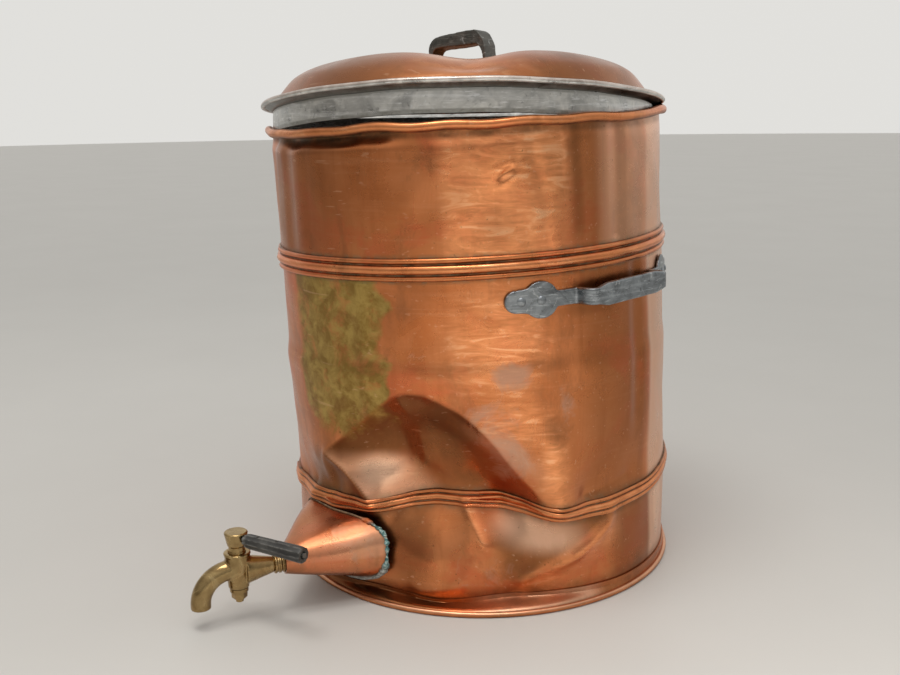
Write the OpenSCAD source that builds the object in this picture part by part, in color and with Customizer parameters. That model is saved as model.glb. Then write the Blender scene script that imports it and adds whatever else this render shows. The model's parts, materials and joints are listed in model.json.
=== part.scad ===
// Old copper hot-water urn: three seamed courses of sheet copper, a brass plug tap
// on a cone-shaped boss, forged side handles and a loose domed lid that sits ajar.
// Millimetres, +Z up. The origin is the middle of the flat underside, the tap is at
// the front along -Y and the side handles are along +X and -X.

/* [Body] */
// Outside radius of the copper wall
wall_radius = 180; // [170:1:190]
// Thickness of the sheet copper
sheet = 1.6; // [1.2:0.1:2]
// Height of the joint between the lower and the middle course
lower_joint = 87; // [84:1:92]
// Height of the joint between the middle and the upper course, along the leaning axis
upper_joint = 301.5; // [290:0.5:320]
// Height of the middle of the rolled rim, along the leaning axis
rim_height = 414; // [405:1:430]
// Lean of everything above the lower joint, degrees
lean = 2.3; // [0:0.1:2.5]
// Compass direction that the top leans towards, degrees from +X
lean_direction = -133; // [-140:1:-125]

/* [Lid] */
// Outside radius of the lid's brim
brim_radius = 186; // [184:1:190]
// Outside radius of the collar that drops into the rim
collar_radius = 175; // [173:0.5:175]
// Height of the collar
collar_height = 19; // [15:1:22]
// Rise of the dome above the brim's edge
dome_rise = 31; // [28:1:46]
// Height of the middle of the brim's edge above the table
lid_height = 437.4; // [436:0.2:442]
// Tilt of the lid where it is caught on the rim, degrees
lid_tilt = 4.1; // [3:0.1:4.2]

/* [Tap] */
// Height of the tap's waterway
tap_height = 47; // [44:1:50]
// Distance from the urn's axis to the small end of the boss
boss_reach = 240; // [230:1:245]
// Sideways skew of the tap on its boss, degrees
tap_skew = 20; // [0:1:24]
// Length from the end of the boss to the plug's axis
tail_length = 42; // [40:1:46]
// Direction of the lever at rest, degrees from +X
lever_direction = 16; // [0:1:30]
// Distance from the plug's axis to the end of the lever
lever_length = 72; // [60:1:74]

/* [Handles] */
// Height of the side handles, along the leaning axis
handle_height = 272; // [262:1:276]
// Distance that a side handle stands out from the wall
handle_reach = 14; // [13:1:40]
// Length of the lid's strap handle
strap_length = 77; // [70:1:84]

/* [Hidden] */

copper = [0.72, 0.42, 0.28];
dull_copper = [0.6, 0.36, 0.24];
brass = [0.62, 0.5, 0.28];
tinned_iron = [0.45, 0.46, 0.47];
black_wood = [0.17, 0.17, 0.16];

fine = 180;
small = 48;
gap = 0.1;
reach_through = 400;

// The wall and its joints
inner_radius = wall_radius - sheet;
base_flange = 5;
foot_bead = 2.4;
foot_wire_r = 1.2;
foot_height = 13;
foot_centre_r = wall_radius + foot_bead + gap;
rim_bead = 4;
rim_wire_r = 2.4;
rim_centre_r = wall_radius + 2;
rim_inner_r = rim_centre_r - rim_bead;
upper_band_height = 19;
lower_band_height = 13;
band_plate = 0.8;
band_slack = 0.45;

// The boss, an oval on the wall drawn out to a round end
boss_steps = 56;
boss_half_angle = 17.5;
boss_centre_z = 45.2;
boss_half_height = 27.2;
boss_square = 0.65;
boss_end_x = 3.5;
boss_end_r = 11.5;
boss_end_lift = 2;
boss_sheet = 1.5;
boss_gap = 0.3;
outlet_r = 16;
tap_direction = -90 - tap_skew;
boss_end = [boss_end_x, -boss_reach, tap_height + boss_end_lift];
tap_out = [cos(tap_direction), sin(tap_direction), 0];
tap_side = [-sin(tap_direction), cos(tap_direction), 0];
plug_axis = boss_end + tail_length * tap_out;
solder_width = 2.2;
solder_climb = 0.04;

// The tap, in heights above the table
tail_r = 6.2;
port_r = 3;
spout_r = 8.5;
spout_bore_r = 6;
spout_bend = 27;
spout_start = 5.7;
spout_end_z = 19;
body_bottom = 32.5;
body_top = 62;
shoulder_top = 64.3;
plug_low_r = 5.6;
plug_high_r = 7.2;
stud_r = 3.4;
stud_end = 19;
nut_low = 22.8;
washer_low = 28.7;
washer_high = 32.2;
head_low = 70.2;
head_high = 82.4;
lever_height = 76.3;
tang_r = 2.2;
grip_start = 12.5;
grip_r = 6.8;
pin_r = 1;

// The side handles: leaf-shaped ends with a bowed strap between them
leaf_thickness = 3;
strap_thickness = 5;
strap_tall = 19;
strap_wrist = 14;
strap_bend = 10;
strap_half = 52;
leaf_angle = 27;
neck_at = -36;
neck_tall = strap_wrist - 0.8;
big_lobe_at = -1.8;
big_lobe_r = 15.5;
waist_at = 8.5;
waist_r = 10.6;
small_lobe_at = 19.6;
small_lobe_r = 9.4;
rivets_along = [big_lobe_at, small_lobe_at - 4.4];
rivet_r = 2.2;
rivet_head_r = 3.8;
rivet_rise = 1.6;
rove_r = 6;
rove_thickness = 1.5;

// The lid, measured from the plane of the brim's edge
dome_radius = 173.5;
dome_power = 6;
dome_steps = 28;
dome_skirt = 4;
lid_sheet = 1.4;
brim_drop = 7;
brim_wire_r = 1.2;
brim_bead = 2.2;
collar_top = -brim_drop - 0.8;
strap_rise = 25;
strap_width = 14;
strap_iron = 4.5;
strap_crown = 9.5;
strap_corner = 13;
strap_foot = 18;
lid_rivet_at = strap_length / 2 + 9;

// Everything above the lower joint, leaned over as one piece
module leaning() {
    axis = [-sin(lean_direction), cos(lean_direction), 0];
    translate([0, 0, lower_joint])
        rotate(a = lean, v = axis)
            translate([0, 0, -lower_joint])
                children();
}

// The lid, centred over the rim and tipped up towards the front right
module on_rim() {
    shift = (lid_height - lower_joint) * tan(lean);
    translate([shift * cos(lean_direction), shift * sin(lean_direction), lid_height])
        rotate(a = lid_tilt, v = [-sin(135), cos(135), 0])
            children();
}

// A frame with its X axis along the tap and its origin under the plug
module along_tap() {
    translate([plug_axis[0], plug_axis[1], 0])
        rotate([0, 0, tap_direction])
            children();
}

// A frame with its X axis along the lever
module along_lever() {
    translate([plug_axis[0], plug_axis[1], lever_height])
        rotate([0, 0, lever_direction])
            children();
}

module tube(outer, inner, low, high) {
    translate([0, 0, low])
        difference() {
            cylinder(r = outer, h = high - low, $fn = fine);
            translate([0, 0, -1])
                cylinder(r = inner, h = high - low + 2, $fn = fine);
        }
}

module wire_ring(ring_r, wire_r, height) {
    translate([0, 0, height])
        rotate_extrude($fn = fine)
            translate([ring_r, 0])
                circle(r = wire_r, $fn = small);
}

// A moulded strip with a broad bead between two narrow ones
module band(inner, height) {
    rotate_extrude($fn = fine)
        translate([inner, 0])
            intersection() {
                union() {
                    translate([0, -height / 2])
                        square([band_plate, height]);
                    translate([0.2, 0])
                        circle(r = height * 0.2, $fn = small);
                    for (side = [-1, 1])
                        translate([0.4, side * height * 0.38])
                            circle(r = height * 0.115, $fn = small);
                }
                translate([0, -height])
                    square([height, 2 * height]);
            }
}

module base_plate() {
    edge_r = inner_radius;
    color(dull_copper)
        rotate_extrude($fn = fine)
            polygon([
                [0, 0], [edge_r, 0], [edge_r, base_flange],
                [edge_r - sheet, base_flange], [edge_r - sheet, sheet], [0, sheet]
            ]);
}

module foot_ring() {
    color(copper)
        rotate_extrude($fn = fine)
            difference() {
                union() {
                    translate([foot_centre_r, foot_bead])
                        circle(r = foot_bead, $fn = small);
                    translate([wall_radius, foot_bead])
                        square([band_plate + 0.4, foot_height - foot_bead]);
                }
                translate([foot_centre_r, foot_bead])
                    circle(r = foot_wire_r, $fn = small);
            }
}

module foot_wire() {
    color(tinned_iron)
        wire_ring(foot_centre_r, foot_wire_r, foot_bead);
}

// The lowest course stands upright and is cut off along the leaning joint
module lower_course() {
    color(copper)
        difference() {
            tube(wall_radius, inner_radius, 0, lower_joint + boss_half_height);
            leaning()
                translate([0, 0, lower_joint])
                    cylinder(r = wall_radius * 1.2, h = boss_half_height * 2, $fn = small);
            translate([0, 0, boss_centre_z])
                rotate([90, 0, 0])
                    cylinder(r = outlet_r, h = reach_through, $fn = small);
        }
}

module lower_band() {
    color(copper)
        leaning()
            translate([0, 0, lower_joint])
                band(wall_radius + band_slack, lower_band_height);
}

module middle_course() {
    color(copper)
        leaning()
            difference() {
                tube(wall_radius, inner_radius, lower_joint, upper_joint);
                handle_rivet_holes(0);
                handle_rivet_holes(180);
            }
}

module upper_band() {
    color(copper)
        leaning()
            translate([0, 0, upper_joint])
                band(wall_radius, upper_band_height);
}

module upper_course() {
    color(copper)
        leaning()
            tube(wall_radius, inner_radius, upper_joint, rim_height - rim_bead + 0.5);
}

module rim_roll() {
    color(copper)
        leaning()
            translate([0, 0, rim_height])
                rotate_extrude($fn = fine)
                    translate([rim_centre_r, 0])
                        difference() {
                            circle(r = rim_bead, $fn = small);
                            circle(r = rim_wire_r, $fn = small);
                        }
}

module rim_wire() {
    color(tinned_iron)
        leaning()
            wire_ring(rim_centre_r, rim_wire_r, rim_height);
}

// Points of the boss at a fraction of the way out, at a turn around its oval,
// moved outwards by grow
function squared(t) = sign(t) * pow(abs(t), boss_square);

function wall_point(turn, grow) =
    let (
        across = boss_half_angle + grow * 180 / (PI * wall_radius),
        angle = -90 + across * squared(cos(turn)),
        up = boss_centre_z + (boss_half_height + grow) * squared(sin(turn))
    )
    [(wall_radius + boss_gap) * cos(angle), (wall_radius + boss_gap) * sin(angle), up];

function end_point(turn, grow) =
    boss_end + (boss_end_r + grow) * (cos(turn) * tap_side + sin(turn) * [0, 0, 1]);

function boss_point(turn, out, grow) =
    let (ease = out * (0.85 + 0.15 * out))
    (1 - ease) * wall_point(turn, grow) + ease * end_point(turn, grow);

function turns(count) = [for (i = [0:count - 1]) 360 * i / count];

// Faces of a tube whose rings are listed one after another, closed on itself
function ring_faces(rings, steps) = [
    for (ring = [0:rings - 1], i = [0:steps - 1])
        let (next_ring = (ring + 1) % rings, next = (i + 1) % steps)
        for (half = [0, 1])
            half == 0
                ? [ring * steps + i, ring * steps + next, next_ring * steps + next]
                : [ring * steps + i, next_ring * steps + next, next_ring * steps + i]
];

// The boss is a shell: its rings run out along the outside and back along the inside
module tap_boss() {
    outs = [0, 0.15, 0.35, 0.6, 0.8, 1];
    backs = [1, 0.8, 0.6, 0.35, 0.15, 0];
    points = concat(
        [for (out = outs, turn = turns(boss_steps)) boss_point(turn, out, 0)],
        [for (out = backs, turn = turns(boss_steps)) boss_point(turn, out, -boss_sheet)]
    );
    color(copper)
        polyhedron(points, ring_faces(len(outs) + len(backs), boss_steps), convexity = 6);
}

// A fillet of solder in the corner between the boss and the wall
module boss_solder() {
    points = concat(
        [for (turn = turns(boss_steps)) boss_point(turn, 0, gap)],
        [for (turn = turns(boss_steps)) wall_point(turn, solder_width)],
        [for (turn = turns(boss_steps)) boss_point(turn, solder_climb, 0.6)]
    );
    color(tinned_iron)
        polyhedron(points, ring_faces(3, boss_steps), convexity = 6);
}

// Threaded bush soldered inside the small end of the boss, a little below its middle
module boss_bush() {
    bush_r = boss_end_r - boss_sheet - gap;
    color(brass)
        along_tap()
            translate([-tail_length, 0, tap_height])
                rotate([0, 90, 0])
                    difference() {
                        translate([-boss_end_lift, 0, -8])
                            cylinder(r = bush_r, h = 9.5, $fn = small);
                        translate([0, 0, -9])
                            cylinder(r = tail_r + gap, h = 12, $fn = small);
                    }
}

// Locking collar with three raised ribs
module tap_collar() {
    color(brass)
        along_tap()
            translate([-tail_length + 1.7, 0, tap_height])
                rotate([0, 90, 0])
                    difference() {
                        union() {
                            cylinder(r = 7.4, h = 10, $fn = small);
                            for (along = [0.4, 4.1, 7.8])
                                translate([0, 0, along])
                                    cylinder(r = 8.4, h = 1.8, $fn = small);
                        }
                        translate([0, 0, -1])
                            cylinder(r = tail_r + gap, h = 12, $fn = small);
                    }
}

// Quarter bend of the spout, ending in a short straight mouth
module spout(radius) {
    bend_z = tap_height + 2 - spout_bend;
    translate([spout_start, 0, bend_z])
        rotate([90, 0, 0])
            rotate_extrude(angle = 90, $fn = fine)
                translate([spout_bend, 0])
                    circle(r = radius, $fn = small);
    translate([spout_start + spout_bend, 0, spout_end_z])
        cylinder(r = radius, h = bend_z - spout_end_z, $fn = small);
}

module tap_body() {
    flare = 12.5;
    color(brass)
        along_tap()
            difference() {
                union() {
                    translate([0, 0, body_bottom])
                        cylinder(r1 = 8.8, r2 = 10.8, h = body_top - body_bottom, $fn = small);
                    translate([0, 0, body_top])
                        cylinder(r = 11.4, h = shoulder_top - body_top, $fn = small);
                    translate([-30, 0, tap_height])
                        rotate([0, 90, 0])
                            cylinder(r1 = tail_r + 0.6, r2 = flare, h = 24, $fn = small);
                    translate([-tail_length - 6, 0, tap_height])
                        rotate([0, 90, 0])
                            cylinder(r = tail_r, h = tail_length, $fn = small);
                    spout(spout_r);
                }
                translate([0, 0, body_bottom])
                    cylinder(
                        r1 = plug_low_r + gap, r2 = plug_high_r + gap,
                        h = shoulder_top - body_bottom, $fn = small
                    );
                translate([0, 0, body_bottom - 20])
                    cylinder(r = plug_low_r + gap, h = 20.5, $fn = small);
                translate([0, 0, shoulder_top - 0.5])
                    cylinder(r = plug_high_r + gap, h = 20, $fn = small);
                translate([-tail_length - 10, 0, tap_height])
                    rotate([0, 90, 0])
                        cylinder(r = port_r, h = tail_length + 10, $fn = small);
                difference() {
                    union() {
                        spout(spout_bore_r);
                        translate([spout_start + spout_bend, 0, spout_end_z - 5])
                            cylinder(r = spout_bore_r, h = 6, $fn = small);
                    }
                    translate([0, 0, body_bottom])
                        cylinder(r = plug_high_r + 1.4, h = 40, $fn = small);
                }
                translate([0, 0, tap_height])
                    rotate([0, 90, 0])
                        cylinder(r = port_r, h = 12, $fn = small);
            }
}

// Tapered plug with its waterway, neck, flared head and threaded stud
module tap_plug() {
    taper_low = body_bottom + 0.2;
    color(brass)
        translate([plug_axis[0], plug_axis[1], 0])
            rotate([0, 0, lever_direction])
                difference() {
                    union() {
                        translate([0, 0, stud_end])
                            cylinder(r = stud_r, h = taper_low - stud_end + 1, $fn = small);
                        translate([0, 0, taper_low])
                            cylinder(
                                r1 = plug_low_r, r2 = plug_high_r,
                                h = shoulder_top - taper_low, $fn = small
                            );
                        translate([0, 0, shoulder_top])
                            cylinder(r = plug_high_r - 0.3, h = head_low - shoulder_top, $fn = small);
                        translate([0, 0, head_low])
                            cylinder(r1 = 7.7, r2 = 10, h = head_high - head_low - 1, $fn = small);
                        translate([0, 0, head_high - 1])
                            cylinder(r1 = 10, r2 = 9, h = 1, $fn = small);
                    }
                    translate([-20, 0, tap_height])
                        rotate([0, 90, 0])
                            cylinder(r = port_r, h = 40, $fn = small);
                    translate([0, 0, lever_height])
                        rotate([0, 90, 0])
                            cylinder(r = tang_r + gap, h = 40, $fn = small);
                }
}

module plug_washer() {
    color(brass)
        translate([plug_axis[0], plug_axis[1], washer_low])
            difference() {
                cylinder(r = 7.9, h = washer_high - washer_low, $fn = small);
                translate([0, 0, -1])
                    cylinder(r = stud_r + gap, h = 10, $fn = small);
            }
}

module plug_nut() {
    color(brass)
        translate([plug_axis[0], plug_axis[1], nut_low])
            difference() {
                cylinder(r = 6.8, h = washer_low - nut_low - gap, $fn = 6);
                translate([0, 0, -1])
                    cylinder(r = stud_r + gap, h = 10, $fn = small);
            }
}

// Rod from the head of the plug to the end of the grip
module lever_tang() {
    color(brass)
        along_lever()
            rotate([0, 90, 0])
                difference() {
                    translate([0, 0, 1])
                        cylinder(r = tang_r, h = lever_length, $fn = small);
                    lever_pin_holes();
                }
}

module lever_pin_holes() {
    for (along = [24, 44])
        translate([-10, 0, along])
            rotate([0, 90, 0])
                cylinder(r = pin_r + gap, h = 20, $fn = small);
}

module lever_grip() {
    color(black_wood)
        along_lever()
            rotate([0, 90, 0])
                difference() {
                    translate([0, 0, grip_start])
                        cylinder(r = grip_r, h = lever_length - grip_start, $fn = 10);
                    cylinder(r = tang_r + gap, h = 100, $fn = small);
                    lever_pin_holes();
                }
}

module lever_pins() {
    color(brass)
        along_lever()
            for (along = [24, 44])
                translate([along, 0, -grip_r + 0.2])
                    cylinder(r = pin_r, h = 2 * grip_r - 0.4, $fn = small);
}

// Outline of one leaf, pointing along +X away from the strap
module leaf_outline() {
    translate([big_lobe_at, 0])
        circle(r = big_lobe_r, $fn = small);
    translate([waist_at, 0])
        circle(r = waist_r, $fn = small);
    translate([small_lobe_at, 0])
        circle(r = small_lobe_r, $fn = small);
    polygon([
        [waist_at, -waist_r], [small_lobe_at, -small_lobe_r],
        [small_lobe_at, small_lobe_r], [waist_at, waist_r],
    ]);
    translate([neck_at, -neck_tall / 2])
        square([big_lobe_at - neck_at, neck_tall]);
}

// A bow seen from above, with rounded corners, reaching out along +X
module bow_outline(reach, half, corner) {
    translate([0, -half])
        square([reach - corner, 2 * half]);
    translate([0, -half + corner])
        square([reach, 2 * (half - corner)]);
    for (side = [-1, 1])
        translate([reach - corner, side * (half - corner)])
            circle(r = corner, $fn = small);
}

// The strap narrows towards the leaves
module strap_side_view() {
    grip_half = strap_half * 0.62;
    polygon([
        [-grip_half, strap_tall / 2], [grip_half, strap_tall / 2],
        [strap_half * 0.85, strap_wrist / 2], [strap_half * 1.2, strap_wrist / 2],
        [strap_half * 1.2, -strap_wrist / 2], [strap_half * 0.85, -strap_wrist / 2],
        [grip_half, -strap_tall / 2], [-grip_half, -strap_tall / 2],
        [-strap_half * 0.85, -strap_wrist / 2], [-strap_half * 1.2, -strap_wrist / 2],
        [-strap_half * 1.2, strap_wrist / 2], [-strap_half * 0.85, strap_wrist / 2]
    ]);
}

// One forged side handle, facing along +X before it is turned
module side_handle(turn) {
    outer_face = wall_radius + handle_reach;
    leaning()
        rotate([0, 0, turn])
            translate([0, 0, handle_height])
                difference() {
                    union() {
                        intersection() {
                            translate([0, 0, -strap_tall])
                                tube(wall_radius + leaf_thickness, wall_radius, 0, 2 * strap_tall);
                            for (side = [-1, 1])
                                rotate([0, 0, side * leaf_angle])
                                    rotate([90, 0, 90])
                                        mirror([side < 0 ? 1 : 0, 0, 0])
                                            linear_extrude(height = reach_through)
                                                leaf_outline();
                        }
                        intersection() {
                            translate([0, 0, -strap_tall])
                                linear_extrude(height = 2 * strap_tall)
                                    difference() {
                                        bow_outline(outer_face, strap_half, strap_bend);
                                        bow_outline(
                                            outer_face - strap_thickness,
                                            strap_half - strap_thickness,
                                            strap_bend - strap_thickness
                                        );
                                    }
                            rotate([90, 0, 90])
                                linear_extrude(height = reach_through)
                                    strap_side_view();
                        }
                    }
                    cylinder(r = wall_radius, h = 4 * strap_tall, center = true, $fn = fine);
                    side_rivet_places()
                        translate([0, 0, -20])
                            cylinder(r = rivet_r + gap, h = 40, $fn = small);
                }
}

// The four rivets of a side handle, each along its own radius of the wall
module side_rivet_places() {
    for (side = [-1, 1])
        for (along = rivets_along)
            rotate([0, 0, side * (leaf_angle + asin(along / wall_radius))])
                translate([wall_radius, 0, 0])
                    rotate([0, 90, 0])
                        children();
}

module handle_rivet_holes(turn) {
    rotate([0, 0, turn])
        translate([0, 0, handle_height])
            side_rivet_places()
                translate([0, 0, -20])
                    cylinder(r = rivet_r + gap, h = 40, $fn = small);
}

// Domed rivet head with a shank through the wall, along +Z
module rivet(shank_depth, head_seat) {
    ball_r = (rivet_head_r * rivet_head_r + rivet_rise * rivet_rise) / (2 * rivet_rise);
    translate([0, 0, -shank_depth])
        cylinder(r = rivet_r, h = shank_depth + head_seat, $fn = small);
    intersection() {
        translate([0, 0, head_seat + rivet_rise - ball_r])
            sphere(r = ball_r, $fn = small);
        translate([0, 0, head_seat])
            cylinder(r = rivet_head_r, h = 10, $fn = small);
    }
}

module rivets_at(turn) {
    color(tinned_iron)
        leaning()
            rotate([0, 0, turn])
                translate([0, 0, handle_height])
                    side_rivet_places()
                        rivet(sheet + rove_thickness + 1, leaf_thickness + gap);
}

// Washers that the rivets are clenched over, inside the urn
module roves_at(turn) {
    color(dull_copper)
        leaning()
            rotate([0, 0, turn])
                translate([0, 0, handle_height])
                    side_rivet_places()
                        translate([0, 0, -sheet - rove_thickness - 0.2])
                            difference() {
                                cylinder(r = rove_r, h = rove_thickness, $fn = small);
                                translate([0, 0, -1])
                                    cylinder(r = rivet_r + gap, h = 4, $fn = small);
                            }
}

module right_handle() {
    color(tinned_iron)
        side_handle(0);
}

module right_handle_rivets() {
    rivets_at(0);
}

module right_handle_roves() {
    roves_at(0);
}

module left_handle() {
    color(tinned_iron)
        side_handle(180);
}

module left_handle_rivets() {
    rivets_at(180);
}

module left_handle_roves() {
    roves_at(180);
}

function dome_z(r) = dome_rise * (1 - pow(r / dome_radius, dome_power));

// Dome radii are closer together towards its steep edge
function dome_r(step) = dome_radius * sin(90 * step / dome_steps);

module lid_dome() {
    shrink = 1 - lid_sheet / dome_radius;
    color(copper)
        on_rim()
            difference() {
                rotate_extrude($fn = fine)
                    polygon(concat(
                        [for (i = [0:dome_steps]) [dome_r(i), dome_z(dome_r(i))]],
                        [[dome_radius, -dome_skirt], [dome_radius - lid_sheet, -dome_skirt]],
                        [for (i = [dome_steps:-1:0]) [shrink * dome_r(i), dome_z(dome_r(i)) - lid_sheet]]
                    ));
                lid_rivet_places()
                    cylinder(r = rivet_r + gap, h = 40, center = true, $fn = small);
            }
}

// The brim flares up and out from the top of the collar to its wired edge
module lid_brim() {
    bead_r = brim_radius - brim_bead;
    flare_end = bead_r - (brim_bead + brim_wire_r) / 2;
    inner_edge = collar_radius - lid_sheet;
    half_sheet = lid_sheet / 2;
    color(tinned_iron)
        on_rim()
            rotate_extrude($fn = fine)
                difference() {
                    union() {
                        polygon([
                            [inner_edge, -brim_drop], [collar_radius, -brim_drop],
                            [flare_end, half_sheet - brim_bead], [flare_end, -half_sheet - brim_bead],
                            [collar_radius, collar_top], [inner_edge, collar_top]
                        ]);
                        translate([bead_r, -brim_bead])
                            circle(r = brim_bead, $fn = small);
                    }
                    translate([bead_r, -brim_bead])
                        circle(r = brim_wire_r, $fn = small);
                }
}

module lid_brim_wire() {
    color(tinned_iron)
        on_rim()
            wire_ring(brim_radius - brim_bead, brim_wire_r, -brim_bead);
}

module lid_collar() {
    color(tinned_iron)
        on_rim()
            tube(collar_radius, collar_radius - lid_sheet, collar_top - collar_height, collar_top);
}

// The two rivets of the lid's handle, on the crown of the dome
module lid_rivet_places() {
    for (side = [-1, 1])
        translate([side * lid_rivet_at, 0, dome_z(lid_rivet_at)])
            children();
}

// Strap handle along X with its feet turned outwards
module lid_handle() {
    half = strap_length / 2;
    foot_seat = dome_z(0) + 0.1;
    top = foot_seat + strap_rise;
    color(tinned_iron)
        on_rim()
            difference() {
                intersection() {
                    rotate([90, 0, 0])
                        linear_extrude(height = strap_width, center = true)
                            union() {
                                difference() {
                                    strap_outline(half, foot_seat, top, strap_corner);
                                    strap_outline(
                                        half - strap_iron, foot_seat - 1,
                                        top - strap_crown, strap_corner - strap_iron
                                    );
                                }
                                for (side = [-1, 1])
                                    translate([side * (half + strap_foot / 2 - 2), foot_seat + 1.5])
                                        square([strap_foot + 2, 3], center = true);
                            }
                    cylinder(r = half + strap_foot - 1, h = 200, $fn = small);
                }
                lid_rivet_places()
                    cylinder(r = rivet_r + gap, h = 40, center = true, $fn = small);
            }
}

module strap_outline(half, low, top, corner) {
    translate([-half, low])
        square([2 * half, top - corner - low]);
    translate([-half + corner, low])
        square([2 * (half - corner), top - low]);
    for (side = [-1, 1])
        translate([side * (half - corner), top - corner])
            circle(r = corner, $fn = small);
}

module lid_handle_rivets() {
    seat = dome_z(0) - dome_z(lid_rivet_at) + 3.2;
    color(tinned_iron)
        on_rim()
            lid_rivet_places()
                rivet(lid_sheet + rove_thickness + 1, seat);
}

module lid_handle_roves() {
    color(dull_copper)
        on_rim()
            lid_rivet_places()
                translate([0, 0, -lid_sheet - rove_thickness - 0.4])
                    difference() {
                        cylinder(r = rove_r, h = rove_thickness, $fn = small);
                        translate([0, 0, -1])
                            cylinder(r = rivet_r + gap, h = 4, $fn = small);
                    }
}

base_plate();
foot_ring();
foot_wire();
lower_course();
lower_band();
middle_course();
upper_band();
upper_course();
rim_roll();
rim_wire();
tap_boss();
boss_solder();
boss_bush();
tap_collar();
tap_body();
tap_plug();
plug_washer();
plug_nut();
lever_tang();
lever_grip();
lever_pins();
right_handle();
right_handle_rivets();
right_handle_roves();
left_handle();
left_handle_rivets();
left_handle_roves();
lid_dome();
lid_brim();
lid_brim_wire();
lid_collar();
lid_handle();
lid_handle_rivets();
lid_handle_roves();
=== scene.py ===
import json
import math

import bmesh
import bpy
import numpy as np
from mathutils import Matrix, Vector, noise


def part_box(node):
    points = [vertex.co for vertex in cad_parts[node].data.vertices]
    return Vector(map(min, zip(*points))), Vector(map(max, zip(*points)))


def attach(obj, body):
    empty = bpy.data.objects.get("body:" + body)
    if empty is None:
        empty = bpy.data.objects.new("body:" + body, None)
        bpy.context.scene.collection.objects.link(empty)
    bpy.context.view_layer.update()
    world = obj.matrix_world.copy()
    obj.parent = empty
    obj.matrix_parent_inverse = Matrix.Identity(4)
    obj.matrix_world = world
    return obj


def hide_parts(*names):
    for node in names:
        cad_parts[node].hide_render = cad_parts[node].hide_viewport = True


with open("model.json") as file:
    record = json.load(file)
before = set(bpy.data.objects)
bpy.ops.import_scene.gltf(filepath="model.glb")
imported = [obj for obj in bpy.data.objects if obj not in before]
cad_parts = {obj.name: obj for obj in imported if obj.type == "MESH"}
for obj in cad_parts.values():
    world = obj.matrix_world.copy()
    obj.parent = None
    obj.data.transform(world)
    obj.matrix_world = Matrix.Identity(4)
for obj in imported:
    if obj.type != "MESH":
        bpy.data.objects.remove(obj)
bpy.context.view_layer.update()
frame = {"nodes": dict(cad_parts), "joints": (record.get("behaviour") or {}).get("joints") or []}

# ---------------------------------------------------------------- measures from the frame
# Shapes are worked out in millimetres, and turned into metres when a mesh is made.
MM = 0.001
JOINTS = {j["name"]: j for j in frame["joints"]}


def corners(node):
    low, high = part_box(node)
    return np.array(low) / MM, np.array(high) / MM


def middle(node):
    low, high = corners(node)
    return (low + high) / 2


UP = np.array(JOINTS["lid_lift"]["axis"], float)
UP /= np.linalg.norm(UP)
LEAN = math.acos(UP[2])
LEAN_AZ = math.atan2(UP[1], UP[0])
LOWER_JOINT = middle("lower_band")[2]
PIVOT = np.array([0, 0, LOWER_JOINT])


def height_along_axis(node):
    return LOWER_JOINT + (middle(node)[2] - LOWER_JOINT) / UP[2]


WALL_R = corners("lower_course")[1][0]
SHEET = 1.6
UPPER_JOINT = height_along_axis("upper_band")
RIM_H = height_along_axis("rim_roll")
RIM_TUBE = 4.0
RIM_RING = WALL_R + 2
FOOT_TUBE = 2.4
FOOT_TOP = corners("foot_ring")[1][2]
LOWER_BAND_TALL = 13.0
UPPER_BAND_TALL = 19.0


def turn_matrix(axis, angle):
    return np.array(Matrix.Rotation(angle, 3, Vector(axis)))


LEAN_TURN = turn_matrix((-math.sin(LEAN_AZ), math.cos(LEAN_AZ), 0), LEAN)


# ---------------------------------------------------------------- small maths
def smooth(x, low, high):
    t = np.clip((x - low) / (high - low), 0, 1)
    return t * t * (3 - 2 * t)


def span(x, start, full, fade, end):
    """0 up to start, 1 from full to fade, and 0 again past end."""
    return smooth(x, start, full) * (1 - smooth(x, fade, end))


def bump(x, centre, half):
    t = np.clip(1 - np.abs((x - centre) / half), 0, 1)
    return t * t * (3 - 2 * t)


def blob(az, h, centre, size):
    """A round patch, 1 in its middle and 0 past its size, in degrees and millimetres."""
    far = np.hypot((az - centre[0]) / size[0], (h - centre[1]) / size[1])
    return 1 - smooth(far, 0.25, 1.0)


def blobs(az, h, table):
    """The sum of round patches, each a strength, a middle (azimuth, height) and a size."""
    return sum(strength * blob(az, h, at, size) for strength, at, size in table)


def ring_curve(points, blur):
    """A smooth function of azimuth through a few given (azimuth, value) points."""
    grid = np.arange(-180, 180, 0.25)
    xs, ys = zip(*points)
    values = np.interp(grid, xs, ys, period=360)
    width = np.arange(-60, 61) * 0.25
    kernel = np.exp(-0.5 * (width / blur) ** 2)
    kernel /= kernel.sum()
    values = np.convolve(np.concatenate([values[-60:], values, values[:60]]), kernel, "same")[60:-60]
    return lambda az: np.interp(az, grid, values, period=360)


def waves(az, h, top_turns, wavelength, seed, count=14):
    """Gentle waviness that closes on itself round the urn."""
    rng = np.random.default_rng(seed)
    total = 0
    for _ in range(count):
        turns = rng.integers(1, top_turns)
        climb = rng.uniform(-1, 1) * 2 * math.pi / wavelength
        total = total + np.sin(turns * np.radians(az) + climb * h + rng.uniform(0, 2 * math.pi))
    return total / math.sqrt(count)


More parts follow.
